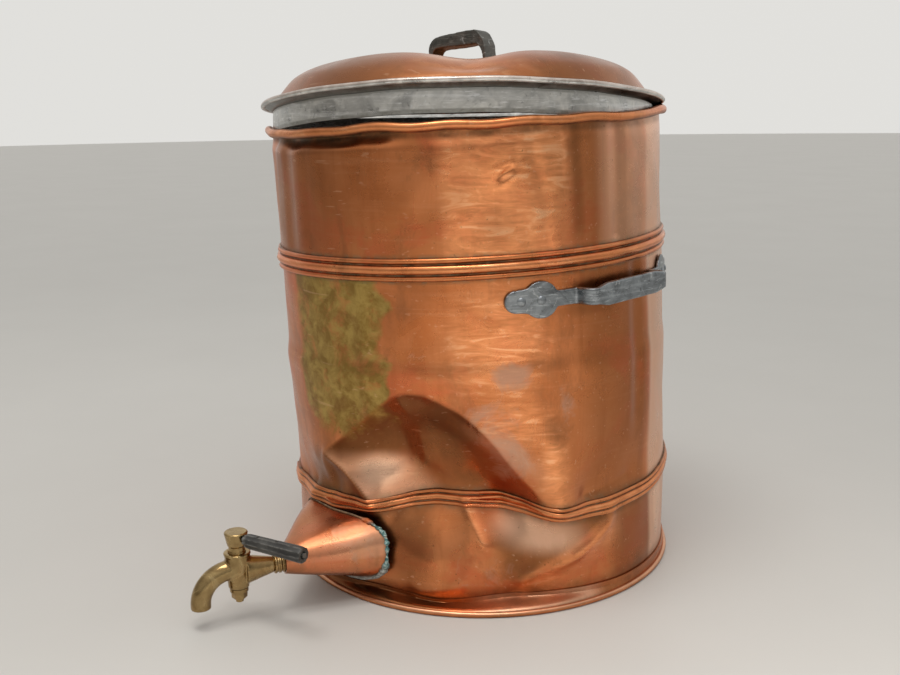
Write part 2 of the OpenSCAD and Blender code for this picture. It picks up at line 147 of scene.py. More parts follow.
class Field:
    """A smooth surface over (azimuth, height), pinned at given points (azimuth, height, value)."""

    def __init__(self, points):
        points = np.array(points, float)
        self.at = self.flat(points[:, 0], points[:, 1])
        n = len(points)
        system = np.zeros((n + 1, n + 1))
        system[:n, :n] = self.kernel(self.at[:, None], self.at[None])
        system[:n, n] = system[n, :n] = 1
        self.weights = np.linalg.solve(system, np.append(points[:, 2], 0))

    def flat(self, az, h):
        return np.stack([np.radians(az) * WALL_R, h + 0 * az], -1)

    def kernel(self, a, b):
        return (np.linalg.norm(a - b, axis=-1) / 100) ** 1.5

    def __call__(self, az, h):
        here = self.flat(az, h)
        total = np.full(here.shape[:-1], self.weights[-1])
        for place, weight in zip(self.at, self.weights):
            total = total + weight * self.kernel(here, place)
        return total


def beside(az, h, start, end):
    """Distance to the right of a line on the wall, how far along the line that is, and the line's length."""
    scale = np.radians(1) * WALL_R
    ax, ay = start[0] * scale, start[1]
    dx, dy = end[0] * scale - ax, end[1] - ay
    length = math.hypot(dx, dy)
    px, py = az * scale - ax, h - ay
    return (px * dy - py * dx) / length, (px * dx + py * dy) / length, length


def crease(az, h, start, end, width, soft):
    """1 along the line from start to end on the wall, falling off to 0 at width, and at its ends."""
    across, along, length = beside(az, h, start, end)
    inside = span(along, -width, width, length - width, length + width)
    across = np.sqrt(across ** 2 + soft ** 2) - soft
    return np.exp(-1.6 * across / width) * inside


# ---------------------------------------------------------------- the dented wall
# How far the crushed wall is pushed in at listed spots: azimuth, height, depth
BIG_DENT = [
    # edge of the dent, where the wall is still round
    (-120, 150, 0), (-106, 150, 0), (-93, 172, 0), (-80, 200, 0), (-66, 212, 0), (-50, 206, 0),
    (-36, 196, 0), (-20, 190, 0), (-5, 175, 0), (12, 170, 0), (30, 150, 0), (46, 110, 0),
    (46, 60, 0), (40, 15, 0), (-130, 120, 0), (-128, 60, 0), (-112, 20, 0),
    # the ledge just above the foot
    (-98, 10, 0), (-86, 10, 5), (-76, 10, 12), (-66, 10, 17), (-54, 10, 19), (-44, 10, 19),
    (-34, 10, 17), (-25, 10, 12), (-14, 10, 6), (-2, 10, 1), (14, 10, 0),
    # along the lower band
    (-118, 87, 0), (-104, 87, 0), (-93, 87, 2), (-86, 87, 6), (-79, 88, 9), (-74.5, 87, 25),
    (-69, 87, 38), (-61, 87, 43), (-50, 87, 42), (-38, 87, 37), (-31, 87, 21), (-27, 87, 6),
    (-23, 87, -1), (-18, 87, 0), (-5, 87, 3), (8, 87, 3), (22, 87, 1), (34, 87, 0),
    # the middle course above the band
    (-114, 97, 4), (-105, 97, 6), (-97, 98, 7), (-112, 122, 1), (-101, 124, 0), (-93, 127, -1),
    (-86, 109, 4), (-83, 140, 8), (-75, 112, 21), (-71, 128, 31), (-62, 126, 33), (-52, 124, 31),
    (-42, 120, 25), (-34, 112, 15), (-27.5, 108, 3), (-23, 108, -1.5), (-23.5, 130, -1),
    (-25, 152, -0.5), (-76, 158, 14), (-66, 160, 18), (-55, 157, 16), (-45, 152, 11),
    (-35, 148, 6), (-66, 184, 4), (-54, 182, 3), (-14, 102, 6), (-4, 106, 7), (7, 102, 5),
    (-8, 135, 3), (8, 138, 1.5), (22, 112, 1),
    # the lower course below the band
    (-90, 75, 4), (-81, 73, 13), (-74, 72, 23), (-71, 58, 21), (-71, 40, 17), (-72, 22, 14),
    (-62, 62, 27), (-61, 36, 17), (-52, 66, 33), (-48, 44, 25), (-50, 26, 20), (-43, 52, 22),
    (-40, 68, 28), (-38, 32, 17), (-33, 22, 13), (-31, 62, 16), (-27, 40, 10), (-25, 72, 6),
    (-19, 46, 1), (-12, 62, 0), (-8, 78, 0), (-22, 24, 9), (-12, 28, 4), (2, 40, 1), (20, 45, 0),
]
big_dent = Field(BIG_DENT)
dent_reach = ring_curve([(-180, 0), (-134, 0), (-120, 1), (38, 1), (50, 0), (179, 0)], 1.5)
band_sag = ring_curve([
    (-180, 0), (-104, 0), (-93, -1), (-84, -2), (-75, -1.5), (-69, -4), (-61, -6), (-50, -5.5), (-37, -4),
    (-30, -1.5), (-26, 1), (-23, 2), (-17, 3.6), (-5, 6), (13, 6), (24, 3.5), (40, 0), (179, 0),
], 1.6)
rim_sag = ring_curve([
    (-180, 0), (-140, 0.5), (-125, -1.6), (-112, 0.4), (-100, 1.4), (-88, 0.6), (-74, -0.8), (-62, -1.2),
    (-50, 0.2), (-38, 0.5), (-24, -0.4), (-8, 0.6), (8, 1.0), (30, -1.4), (48, -1.8), (90, 0), (179, 0),
], 3.0)
rim_pinch = ring_curve([
    (-180, 0.5), (-140, 0), (-126, 1.2), (-118, 6.0), (-112, 3.5), (-106, 5.5), (-98, 8.0), (-92, 5.0),
    (-86, 7.5), (-78, 8.5), (-72, 5.0), (-66, 6.0), (-60, 2.0), (-54, 0.6), (-49, 3.4), (-44, 1.4),
    (-38, 3.4), (-33, 1.2), (-27, 2.8), (-20, 0.6), (-10, 2.0), (0, 0.6), (10, 1.6), (20, 0.6), (179, 0.5),
], 1.6)

# the sharp upper edge of the big dent: azimuth, height
lip_line = ring_curve([
    (-180, 60), (-101, 60), (-97, 122), (-94.5, 134), (-88.5, 147), (-83, 160), (-78, 171), (-73.5, 183),
    (-68.5, 193), (-64, 199), (-59, 198), (-54, 191), (-49.5, 182), (-45, 169), (-40, 148), (-36.5, 130),
    (-32.5, 115), (-28.5, 102), (-25, 92), (-20, 60), (179, 60),
], 1.0)


def below_lip(az, h):
    """Distance below the upper edge of the big dent, square to that edge."""
    slope = (lip_line(az + 1) - lip_line(az - 1)) / (2 * np.radians(1) * WALL_R)
    return (lip_line(az) - h) / np.sqrt(1 + slope ** 2)


def tilted_blob(az, h, centre, length, width, slant):
    """A long patch on the wall, turned by slant degrees from level."""
    px = np.radians(az - centre[0]) * WALL_R
    py = h - centre[1]
    c, s = math.cos(math.radians(slant)), math.sin(math.radians(slant))
    far = np.hypot((px * c + py * s) / length, (py * c - px * s) / width)
    return 1 - smooth(far, 0.1, 1.0)


# Creases that stand out: by how much, from where to where (azimuth, height), width, softness
CREASES = [
    (3.0, (-79, 90), (-94, 130), 9, 1.0), (4.0, (-24, 84), (-24, 158), 17, 6.0),
    (4.0, (-51.5, 86), (-43.5, 48), 9, 1.6), (4.2, (-5, 80), (-12, 58), 12, 3.0),
    (4.6, (-12, 58), (-20, 43), 12, 3.0), (3.8, (-20, 43), (-34, 26), 11, 3.0),
    (2.0, (-66, 16), (-50, 24), 8, 2.0), (-2.0, (-16, 97), (6, 106), 9, 2.0),
]
# Upright flutes in the upper course: depth, azimuth, half width, sway, height of a sway, its start
FLUTES = [
    (-0.8, -21, 6, 0, 1, 0), (2.0, -0.5, 4, 0, 1, 0), (-0.7, 5, 5, 0, 1, 0), (1.2, -104, 5, 0, 1, 0),
    (-0.9, -97, 5, 0, 1, 0), (0.5, -26, 2.6, 2, 24, 0), (-0.4, -30, 3.2, 2, 30, 0),
    (0.28, -22.5, 1.6, 1.5, 19, 0), (0.22, -33.5, 1.8, 2.2, 27, 0), (0.20, -18.5, 1.4, 1.2, 15, 1),
]
# Upright panels in the middle course: depth, azimuth, half width
PANELS = [(1.6, 7, 4), (-1.0, 13, 5), (1.2, -70, 5), (-0.8, -76, 4)]
# Knocks: depth, middle (azimuth, height), size
MIDDLE_KNOCKS = [(1.2, (-52, 235), (14, 34)), (1.0, (-30, 215), (10, 28))]
BACK_KNOCKS = [
    (3.5, (92, 170), (15, 34)), (2.5, (141, 235), (16, 42)), (4.0, (-165, 128), (11, 26)),
    (2.2, (118, 360), (12, 30)), (2.0, (60, 250), (12, 30)), (2.6, (170, 45), (13, 22)),
]
# Long slanting marks round the nick in the upper course: depth, middle, length, width, slant
NICKS = [(2.6, (-34.3, 375), 10, 4.2, 36), (-0.7, (-33.6, 369), 11, 3.8, 36), (1.4, (-36, 352), 40, 26, 75)]


def wall_depth(az, h):
    """How far the wall is pushed in from its round shape, in millimetres."""
    depth = big_dent(az, h) * dent_reach(az) * (1 - smooth(h, 205, 225)) * smooth(h, 3.5, 9.0)
    under = below_lip(az, h)
    step = 6.5 * (1 - np.exp(-np.maximum(under, 0) / 11)) * (1 - smooth(under, 25, 80))
    lip = span(az, -99, -92, -33, -25) * (h > LOWER_JOINT)
    depth = depth + lip * (step - 1.2 * np.exp(-np.abs(under) / 9))
    for out, start, end, width, soft in CREASES:
        depth = depth - out * crease(az, h, start, end, width, soft)
    high = smooth(h, 330, 400)
    fluted = 2.6 * bump(az, -14.5, 7) * (0.5 + 0.5 * high) + 1.0 * bump(az, -117, 5) * high
    for deep, at, half, sway, tall, start in FLUTES:
        fluted = fluted + deep * bump(az, at + sway * np.sin(h / tall + start), half)
    depth = depth + smooth(h, UPPER_JOINT + 2, UPPER_JOINT + 16) * fluted
    for deep, at, length, width, slant in NICKS:
        depth = depth + deep * tilted_blob(az, h, at, length, width, slant)
    depth = depth + rim_pinch(az) * smooth(h, RIM_H - 17, RIM_H - 6)
    panels = sum(deep * bump(az, at, half) for deep, at, half in PANELS)
    depth = depth + span(h, 120, 170, 285, 299) * (panels + blobs(az, h, MIDDLE_KNOCKS))
    depth = depth + blobs(az, h, BACK_KNOCKS)
    calm = smooth(h, 6, 24) * (1 - 0.6 * smooth(h, RIM_H - 20, RIM_H - 4))
    return depth + calm * (0.55 * waves(az, h, 9, 160, 3) + 0.16 * waves(az, h, 30, 45, 5))


def wall_drop(az, h):
    """How far the wall has sagged, in millimetres."""
    near_joint = span(h, 10, LOWER_JOINT - 8, LOWER_JOINT + 12, 190)
    near_rim = smooth(h, RIM_H - 70, RIM_H - 10)
    ledge = 7.0 * bump(az, -57, 24) * span(h, 3, 9, 14, 42)
    return band_sag(az) * near_joint + rim_sag(az) * near_rim + ledge


def settle(x, y, h, drop):
    """From round-the-axis coordinates to the urn as it stands: upright below the joint, leaning above."""
    bent = np.stack([x, y, h - drop], -1)
    upper = (bent - PIVOT) @ LEAN_TURN.T + PIVOT
    cut = -math.tan(LEAN) * (x * math.cos(LEAN_AZ) + y * math.sin(LEAN_AZ))
    lower = bent.copy()
    lower[..., 2] += cut * np.clip(h / LOWER_JOINT, 0, 1)
    return np.where((h > LOWER_JOINT)[..., None], upper, lower)


def wall(az, h, out=0.0):
    """Points of the wall's outer face, moved outwards by out."""
    az, h = np.broadcast_arrays(np.asarray(az, float), np.asarray(h, float))
    r = WALL_R - wall_depth(az, h) + out
    return settle(r * np.cos(np.radians(az)), r * np.sin(np.radians(az)), h, wall_drop(az, h))


# ---------------------------------------------------------------- meshes
def columns(front=0.5, back=1.25):
    """Azimuths round the urn, closer together where the dents are."""
    return np.concatenate([np.arange(-134, 50, front), np.arange(50, 226, back)])


def quads(rows, cols, close_rows=False):
    """Faces of a grid whose columns run all the way round, and its rows too if close_rows."""
    r = np.arange(rows if close_rows else rows - 1)[:, None]
    c = np.arange(cols)[None, :]
    up, on = (r + 1) % rows, (c + 1) % cols
    return np.stack([r * cols + c, r * cols + on, up * cols + on, up * cols + c], -1).reshape(-1, 4)


def face_normals(points):
    """Outward directions of a grid of points whose columns run all the way round."""
    round_it = np.roll(points, -1, 1) - np.roll(points, 1, 1)
    up_it = np.gradient(points, axis=0)
    n = np.cross(round_it, up_it)
    return n / np.maximum(np.linalg.norm(n, axis=-1, keepdims=True), 1e-9)


def shell(points, thickness):
    """A grid turned into a closed sheet: out along its face and back along its inside."""
    inner = points - face_normals(points) * thickness
    return np.concatenate([points, inner[::-1]])


def piece(name, body, node, verts, faces, material, masks=None, sharp=38):
    """Makes one visible piece from a grid of millimetre points. It stands for the CAD node named.

    A mask is a number from 0 to 1 for each point, or anything that broadcasts to the grid.
    """
    mesh = bpy.data.meshes.new(name)
    mesh.from_pydata((np.asarray(verts, float).reshape(-1, 3) * MM).tolist(), [], [list(f) for f in faces])
    bm = bmesh.new()
    bm.from_mesh(mesh)
    bmesh.ops.recalc_face_normals(bm, faces=bm.faces)
    bm.to_mesh(mesh)
    bm.free()
    for mask, values in (masks or {}).items():
        values = np.clip(np.broadcast_to(values, np.shape(verts)[:2]), 0, 1)
        layer = mesh.attributes.new(mask, "FLOAT", "POINT")
        layer.data.foreach_set("value", values.astype(np.float32).ravel())
    finish_piece(name, mesh, body, node, material, sharp)


def finish_piece(name, mesh, body, node, material, sharp):
    mesh.shade_smooth()
    mesh.set_sharp_from_angle(angle=math.radians(sharp))
    mesh.materials.clear()
    mesh.materials.append(material)
    obj = bpy.data.objects.new(name, mesh)
    bpy.context.scene.collection.objects.link(obj)
    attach(obj, body)
    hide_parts(node)


def soften(node, body, material, voxel, rounds, change=None):
    """A CAD node with its edges rounded over, as forging, casting and wear leave them."""
    source = frame["nodes"][node]
    mesh = source.data.copy()
    bm = bmesh.new()
    bm.from_mesh(mesh)
    bmesh.ops.remove_doubles(bm, verts=bm.verts, dist=2e-5)
    bmesh.ops.recalc_face_normals(bm, faces=bm.faces)
    bm.to_mesh(mesh)
    bm.free()
    scratch = bpy.data.objects.new("scratch", mesh)
    bpy.context.scene.collection.objects.link(scratch)
    remesh = scratch.modifiers.new("remesh", "REMESH")
    remesh.mode = "VOXEL"
    remesh.voxel_size = voxel * MM
    relax = scratch.modifiers.new("relax", "SMOOTH")
    relax.factor = 0.5
    relax.iterations = rounds
    bpy.context.view_layer.update()
    shaped = scratch.evaluated_get(bpy.context.evaluated_depsgraph_get())
    final = bpy.data.meshes.new_from_object(shaped)
    bpy.data.objects.remove(scratch)
    if change:
        change(final)
    finish_piece(node + "_worn", final, body, node, material, 50)


def points_of(mesh):
    co = np.zeros(len(mesh.vertices) * 3)
    mesh.vertices.foreach_get("co", co)
    return co.reshape(-1, 3) / MM


def put_points(mesh, co):
    mesh.vertices.foreach_set("co", (co * MM).astype(np.float32).ravel())
    mesh.update()


def hammered(depth, size):
    """Small facets from hammering and wear, for soften()."""
    def change(mesh):
        co = points_of(mesh)
        normals = np.zeros(len(co) * 3)
        mesh.vertices.foreach_get("normal", normals)
        rough = np.array([noise.noise(Vector(p / size)) for p in co])
        put_points(mesh, co + normals.reshape(-1, 3) * (rough * depth)[:, None])
    return change


# ---------------------------------------------------------------- materials
class Nodes:
    """A short way to write a node tree."""

    def __init__(self, tree):
        self.tree = tree
        tree.nodes.clear()

    def put(self, value, socket):
        """Links a socket, or sets a number or a colour."""
        if isinstance(value, bpy.types.NodeSocket):
            self.tree.links.new(value, socket)
        else:
            socket.default_value = value

    def node(self, kind, inputs, **settings):
        n = self.tree.nodes.new("ShaderNode" + kind)
        for key, value in settings.items():
            setattr(n, key, value)
        for key, value in inputs.items():
            self.put(value, n.inputs[key])
        return n

    def steps(self, value, *stops):
        """A value mapped through (position, result) stops, where a result is a number or a colour."""
        ramp = self.node("ValToRGB", {"Fac": value})
        band = ramp.color_ramp
        while len(band.elements) < len(stops):
            band.elements.new(0.5)
        for element, (at, result) in zip(band.elements, stops):
            element.position = at
            element.color = (result,) * 3 + (1,) if isinstance(result, (int, float)) else (*result, 1)
        return ramp.outputs["Color"]

    def times(self, a, b):
        return self.math("MULTIPLY", a, b)

    def math(self, operation, a, b):
        return self.node("Math", {0: a, 1: b}, operation=operation, use_clamp=True).outputs[0]

    def mix(self, share, a, b):
        n = self.node("Mix", {}, data_type="RGBA")
        self.put(share, n.inputs[0])
        for value, socket in ((a, n.inputs[6]), (b, n.inputs[7])):
            self.put((*value, 1) if isinstance(value, tuple) else value, socket)
        return n.outputs[2]

    def over(self, base, value, low, high, share, colour):
        """The base with a colour laid over it where the value rises from low to high."""
        return self.mix(self.steps(value, (low, 0.0), (high, share)), base, colour)


class Paint(Nodes):
    """A material with one Principled shader."""

    def __init__(self, name, **constants):
        self.material = bpy.data.materials.new(name)
        self.material.use_nodes = True
        super().__init__(self.material.node_tree)
        self.surface = self.node("BsdfPrincipled", {k.replace("_", " "): v for k, v in constants.items()})
        self.node("OutputMaterial", {"Surface": self.surface.outputs[0]})
        self.place = self.node("TexCoord", {}).outputs["Object"]

    def stretched(self, scale, turn=(0.0, 0.0, 0.0)):
        return self.node("Mapping", {"Vector": self.place, "Scale": scale, "Rotation": turn}).outputs[0]

    def noise(self, scale, detail=3.0, rough=0.55, twist=0.0, at=None):
        inputs = {"Vector": at or self.place, "Scale": scale, "Detail": detail, "Roughness": rough}
        return self.node("TexNoise", {**inputs, "Distortion": twist}).outputs["Fac"]

    def mask(self, name):
        return self.node("Attribute", {}, attribute_name=name).outputs["Fac"]

    def broken(self, mask, texture, low, high):
        """A mask broken up by a texture, through two (value, share) stops."""
        return self.times(self.mask(mask), self.steps(texture, low, high))

    def ragged(self, mask, texture, body):
        """A mask whose edge follows the texture, with fewer holes in it when the body is higher."""
        holes = self.steps(texture, (0.36, 0.0), (0.64, 0.5))
        torn = self.math("ADD", self.times(self.mask(mask), body), holes)
        return self.steps(torn, (0.52, 0.0), (0.96, 1.0))

    def roughness(self, value, smooth_end, rough_end):
        """From one roughness to the other as the value rises."""
        return self.mix(self.steps(value, (0.3, 0.0), (0.7, 1.0)), (smooth_end,) * 3, (rough_end,) * 3)

    def finish(self, colour, roughness, height=None, relief=0.1, step=0.001):
        self.put(colour, self.surface.inputs["Base Color"])
        self.put(roughness, self.surface.inputs["Roughness"])
        if height is not None:
            dent = self.node("Bump", {"Height": height, "Strength": relief, "Distance": step})
            self.put(dent.outputs[0], self.surface.inputs["Normal"])
        return self.material


def copper_paint():
    p = Paint("copper", Metallic=1.0)
    broad = p.noise(6.5, 3, 0.5, 0.4)
    cloud = p.noise(21, 5, 0.6, 0.6)
    mottle = p.noise(70, 5, 0.65, 0.4)
    level = p.noise(5, 4, 0.6, 0.2, p.stretched((1.4, 1.4, 34)))
    upright = p.noise(5, 4, 0.6, 0.6, p.stretched((13, 13, 1.1)))
    strokes = p.noise(6, 4, 0.6, 1.5, p.stretched((3, 3, 18), (0.35, -0.45, 0.2)))
    rubbed = p.noise(6, 4, 0.6, 1.5, p.stretched((4, 4, 16), (-0.75, 0.5, 0.0)))
    scratchy = p.mix(p.steps(cloud, (0.44, 0.0), (0.56, 1.0)), strokes, rubbed)
    # old copper: broad changes of tone, upright and level streaks, red and brown stains
    dull, plain, bright = (0.47, 0.143, 0.045), (0.61, 0.205, 0.072), (0.72, 0.27, 0.11)
    base = p.steps(broad, (0.32, dull), (0.52, plain), (0.72, bright))
    base = p.over(base, cloud, 0.42, 0.66, 0.45, (0.76, 0.29, 0.12))
    base = p.over(base, upright, 0.50, 0.72, 0.45, (0.40, 0.117, 0.037))
    base = p.over(base, level, 0.55, 0.75, 0.30, (0.80, 0.355, 0.17))
    red = p.steps(p.noise(13, 5, 0.65, 0.5), (0.50, 0.0), (0.60, 1.0))
    base = p.mix(p.times(red, p.steps(scratchy, (0.3, 0.3), (0.6, 0.8))), base, (0.66, 0.165, 0.065))
    brown = p.noise(17, 6, 0.7, 0.4, p.stretched((1, 1, 0.6), (0.5, 0.2, 0.9)))
    base = p.mix(p.times(p.steps(brown, (0.52, 0.0), (0.64, 0.7)), 0.9), base, (0.36, 0.135, 0.055))
    # polished places with painted highlights, painted shade and other darkening, patina crust, dull smears,
    # and pale places that are mostly painted light
    base = p.mix(p.broken("shine", scratchy, (0.38, 0.25), (0.62, 1.0)), base, (1.0, 0.40, 0.165))
    base = p.mix(p.broken("shine", scratchy, (0.56, 0.0), (0.68, 0.6)), base, (1.0, 0.60, 0.34))
    base = p.mix(p.broken("painted_shade_and_darkening", cloud, (0.25, 0.8), (0.65, 1.0)), base, (0.19, 0.075, 0.026))
    olive = p.mix(p.steps(mottle, (0.40, 0.0), (0.62, 1.0)), (0.31, 0.185, 0.048), (0.50, 0.34, 0.10))
    olive = p.over(olive, cloud, 0.56, 0.66, 0.6, (0.25, 0.115, 0.035))
    crust = p.ragged("patina", p.noise(34, 6, 0.7, 0.6), 0.76)
    worn = p.steps(p.noise(30, 6, 0.65, 0.4), (0.36, 0.0), (0.52, 1.0))
    base = p.mix(p.times(crust, p.math("ADD", worn, 0.65)), base, olive)
    smear = p.ragged("smear", p.noise(26, 6, 0.72, 1.4), 0.56)
    base = p.mix(p.times(smear, 0.7), base, (0.62, 0.37, 0.26))
    base = p.mix(p.mask("pale"), base, (0.90, 0.56, 0.38))
    # dark specks, scratches and nicks
    spots = p.steps(p.noise(260, 3, 0.6), (0.68, 0.0), (0.74, 0.6))
    base = p.mix(p.times(spots, p.steps(broad, (0.35, 0.25), (0.6, 1.0))), base, (0.15, 0.06, 0.025))
    for turn, share in (((0.5, 0.3, 0.0), 0.22), ((-0.9, 0.2, 0.4), 0.14), ((0.2, 1.1, 0.8), 0.18)):
        scratches = p.noise(15, 2, 0.5, 0.15, p.stretched((0.5, 16, 16), turn))
        base = p.over(base, scratches, 0.70, 0.74, share, (0.98, 0.60, 0.38))
    nicks = p.noise(260, 2, 0.5, 0.2, p.stretched((1, 1, 0.35), (0.6, 0.3, 0.2)))
    base = p.over(base, nicks, 0.81, 0.83, 0.6, (0.95, 0.80, 0.68))
    # dirt and painted shade in corners, joints and under edges, and verdigris
    grime_and_painted_shade = p.broken("grime_and_painted_shade", mottle, (0.34, 0.5), (0.60, 1.0))
    base = p.mix(grime_and_painted_shade, base, (0.085, 0.055, 0.03))
    green = p.broken("green", p.noise(120, 4, 0.6, 0.5), (0.46, 0.0), (0.60, 0.6))
    base = p.mix(green, base, (0.19, 0.21, 0.14))
    matt = p.math("MAXIMUM", p.mask("patina"), p.math("MAXIMUM", smear, grime_and_painted_shade))
    rough = p.mix(matt, p.roughness(cloud, 0.22, 0.36), (0.48,) * 3)
    height = p.mix(0.35, p.mix(0.5, p.noise(420, 4, 0.6), level), scratchy)
    return p.finish(base, rough, height, 0.22, 0.0006)


def tin_paint(name, light, dark, gloss):
    """Tinned or bare iron: cloudy, brushed along, with rubbed, white and dark specks."""
    p = Paint(name, Metallic=1.0)
    cloud = p.noise(38, 5, 0.62, 1.2)
    brushed = p.noise(9, 5, 0.65, 0.3, p.stretched((1.2, 1.2, 22)))
    rubbed = p.noise(70, 4, 0.6, 0.3, p.stretched((1.2, 1.2, 7), (0.5, 0.5, 0.0)))
    base = p.steps(cloud, (0.32, dark), (0.68, light))
    base = p.over(base, brushed, 0.52, 0.72, 0.55, tuple(min(1, 1.7 * c) for c in light))
    base = p.over(base, rubbed, 0.56, 0.68, 0.5, tuple(min(1, 1.9 * c) for c in light))
    base = p.over(base, p.noise(150, 5, 0.7, 0.8), 0.60, 0.68, 0.6, (0.78, 0.80, 0.80))
    base = p.over(base, p.noise(210, 3, 0.6, 0.4), 0.62, 0.72, 0.45, tuple(c * 0.4 for c in dark))
    # a copper-coloured painted highlight, near-black painted shade, and dirt with painted shade, where their
    # masks are set
    base = p.mix(p.mask("shine"), base, (0.66, 0.40, 0.27))
    base = p.mix(p.mask("painted_shade_and_darkening"), base, (0.05, 0.045, 0.035))
    base = p.mix(p.broken("grime_and_painted_shade", cloud, (0.35, 0.2), (0.6, 1.0)), base, (0.09, 0.085, 0.06))
    height = p.mix(0.5, p.noise(330, 4, 0.6), p.mix(0.5, cloud, brushed))
    return p.finish(base, p.roughness(cloud, gloss - 0.12, gloss + 0.12), height, 0.45, 0.0006)


def brass_paint():
    p = Paint("brass", Metallic=1.0)
    cloud = p.noise(55, 5, 0.6, 1.0)
    dull, plain, bright = (0.24, 0.155, 0.065), (0.39, 0.275, 0.125), (0.54, 0.41, 0.215)
    base = p.steps(cloud, (0.30, dull), (0.52, plain), (0.74, bright))
    base = p.over(base, p.noise(18, 3, 0.5, 0.5), 0.45, 0.65, 0.5, (0.36, 0.21, 0.085))
    base = p.over(base, p.noise(340, 4, 0.6), 0.66, 0.72, 0.3, (0.12, 0.09, 0.05))
    height = p.mix(0.5, p.noise(500, 3, 0.6), cloud)
    return p.finish(base, p.roughness(cloud, 0.20, 0.32), height, 0.15, 0.0005)


def wood_paint():
    p = Paint("black_wood", Metallic=0.0, Specular_IOR_Level=0.55)
    grain = p.noise(60, 5, 0.6, 0.6)
    black, dark, grey = (0.010, 0.009, 0.008), (0.030, 0.028, 0.025), (0.085, 0.082, 0.072)
    base = p.steps(grain, (0.34, black), (0.55, dark), (0.76, grey))
    worn = p.broken("shine", p.noise(180, 4, 0.6, 0.6), (0.40, 0.1), (0.58, 1.0))
    base = p.mix(worn, base, (0.17, 0.165, 0.15))
    height = p.mix(0.5, grain, p.noise(700, 3, 0.6))
    return p.finish(base, p.roughness(grain, 0.30, 0.52), height, 0.5, 0.0005)


def crust_paint():
    """Brown solder, bare at the bottom, with a verdigris crust and one red drop."""
    p = Paint("solder", Metallic=0.35)
    lumps = p.noise(300, 4, 0.6, 0.5)
    base = p.steps(lumps, (0.35, (0.10, 0.065, 0.04)), (0.6, (0.26, 0.17, 0.10)))
    bare = p.steps(lumps, (0.35, (0.22, 0.22, 0.20)), (0.6, (0.46, 0.46, 0.43)))
    base = p.mix(p.mask("smear"), base, bare)
    crust = p.steps(lumps, (0.36, (0.05, 0.13, 0.14)), (0.50, (0.16, 0.34, 0.33)), (0.62, (0.62, 0.72, 0.68)))
    base = p.mix(p.broken("green", p.noise(160, 3, 0.6), (0.34, 0.0), (0.44, 1.0)), base, crust)
    base = p.mix(p.mask("shine"), base, (0.62, 0.17, 0.05))
    return p.finish(base, p.mix(lumps, (0.45,) * 3, (0.85,) * 3), lumps, 0.8, 0.0012)


def floor_paint():
    p = Paint("floor", Metallic=0.0)
    base = p.mix(p.noise(3, 4, 0.6), (0.58, 0.565, 0.535), (0.63, 0.615, 0.585))
    return p.finish(base, p.mix(p.noise(9, 3, 0.5), (0.50,) * 3, (0.58,) * 3))


COPPER = copper_paint()
TIN = tin_paint("tinned_iron", (0.34, 0.365, 0.385), (0.125, 0.135, 0.145), 0.32)
LID_TIN = tin_paint("lid_tin", (0.80, 0.79, 0.75), (0.32, 0.32, 0.31), 0.36)
IRON = tin_paint("iron", (0.21, 0.205, 0.19), (0.08, 0.078, 0.07), 0.5)
BRASS = brass_paint()
WOOD = wood_paint()
CRUST = crust_paint()


# ---------------------------------------------------------------- walls, bands, foot and rim
# Patches on the courses: strength, middle (azimuth, height), size
# polished places that carry painted highlights where the light reflects
POLISH_AND_HIGHLIGHTS = [
    (0.85, (-38, 238), (20, 66)), (0.8, (-36, 168), (15, 34)), (0.9, (-24, 122), (6, 62)),
    (0.7, (-32, 358), (17, 62)),
]
SMEARED = [
    (1.0, (-35, 211), (8, 20)), (0.9, (-40, 172), (12, 30)), (0.9, (-35, 132), (10, 36)),
    (0.7, (-40, 150), (9, 16)), (0.6, (-20, 176), (5, 38)), (0.5, (-60, 232), (5, 12)),
]
# low smears; the second one is partly a painted reflection, partly silvery scratches
LOW_SMEARS_AND_REFLECTION = [(0.45, (-46, 32), (16, 22)), (0.85, (-27, 62), (12, 16))]
# painted light on the up-facing facet and a pale painted reflection near the right edge
PAINTED_LIGHT_PATCHES = [(0.5, (-78, 118), (9, 22)), (0.6, (22, 60), (5, 40))]
FACET_EDGE = (-79, 90), (-94, 130)
LOW_RIDGE = (-5, 80), (-30, 28)


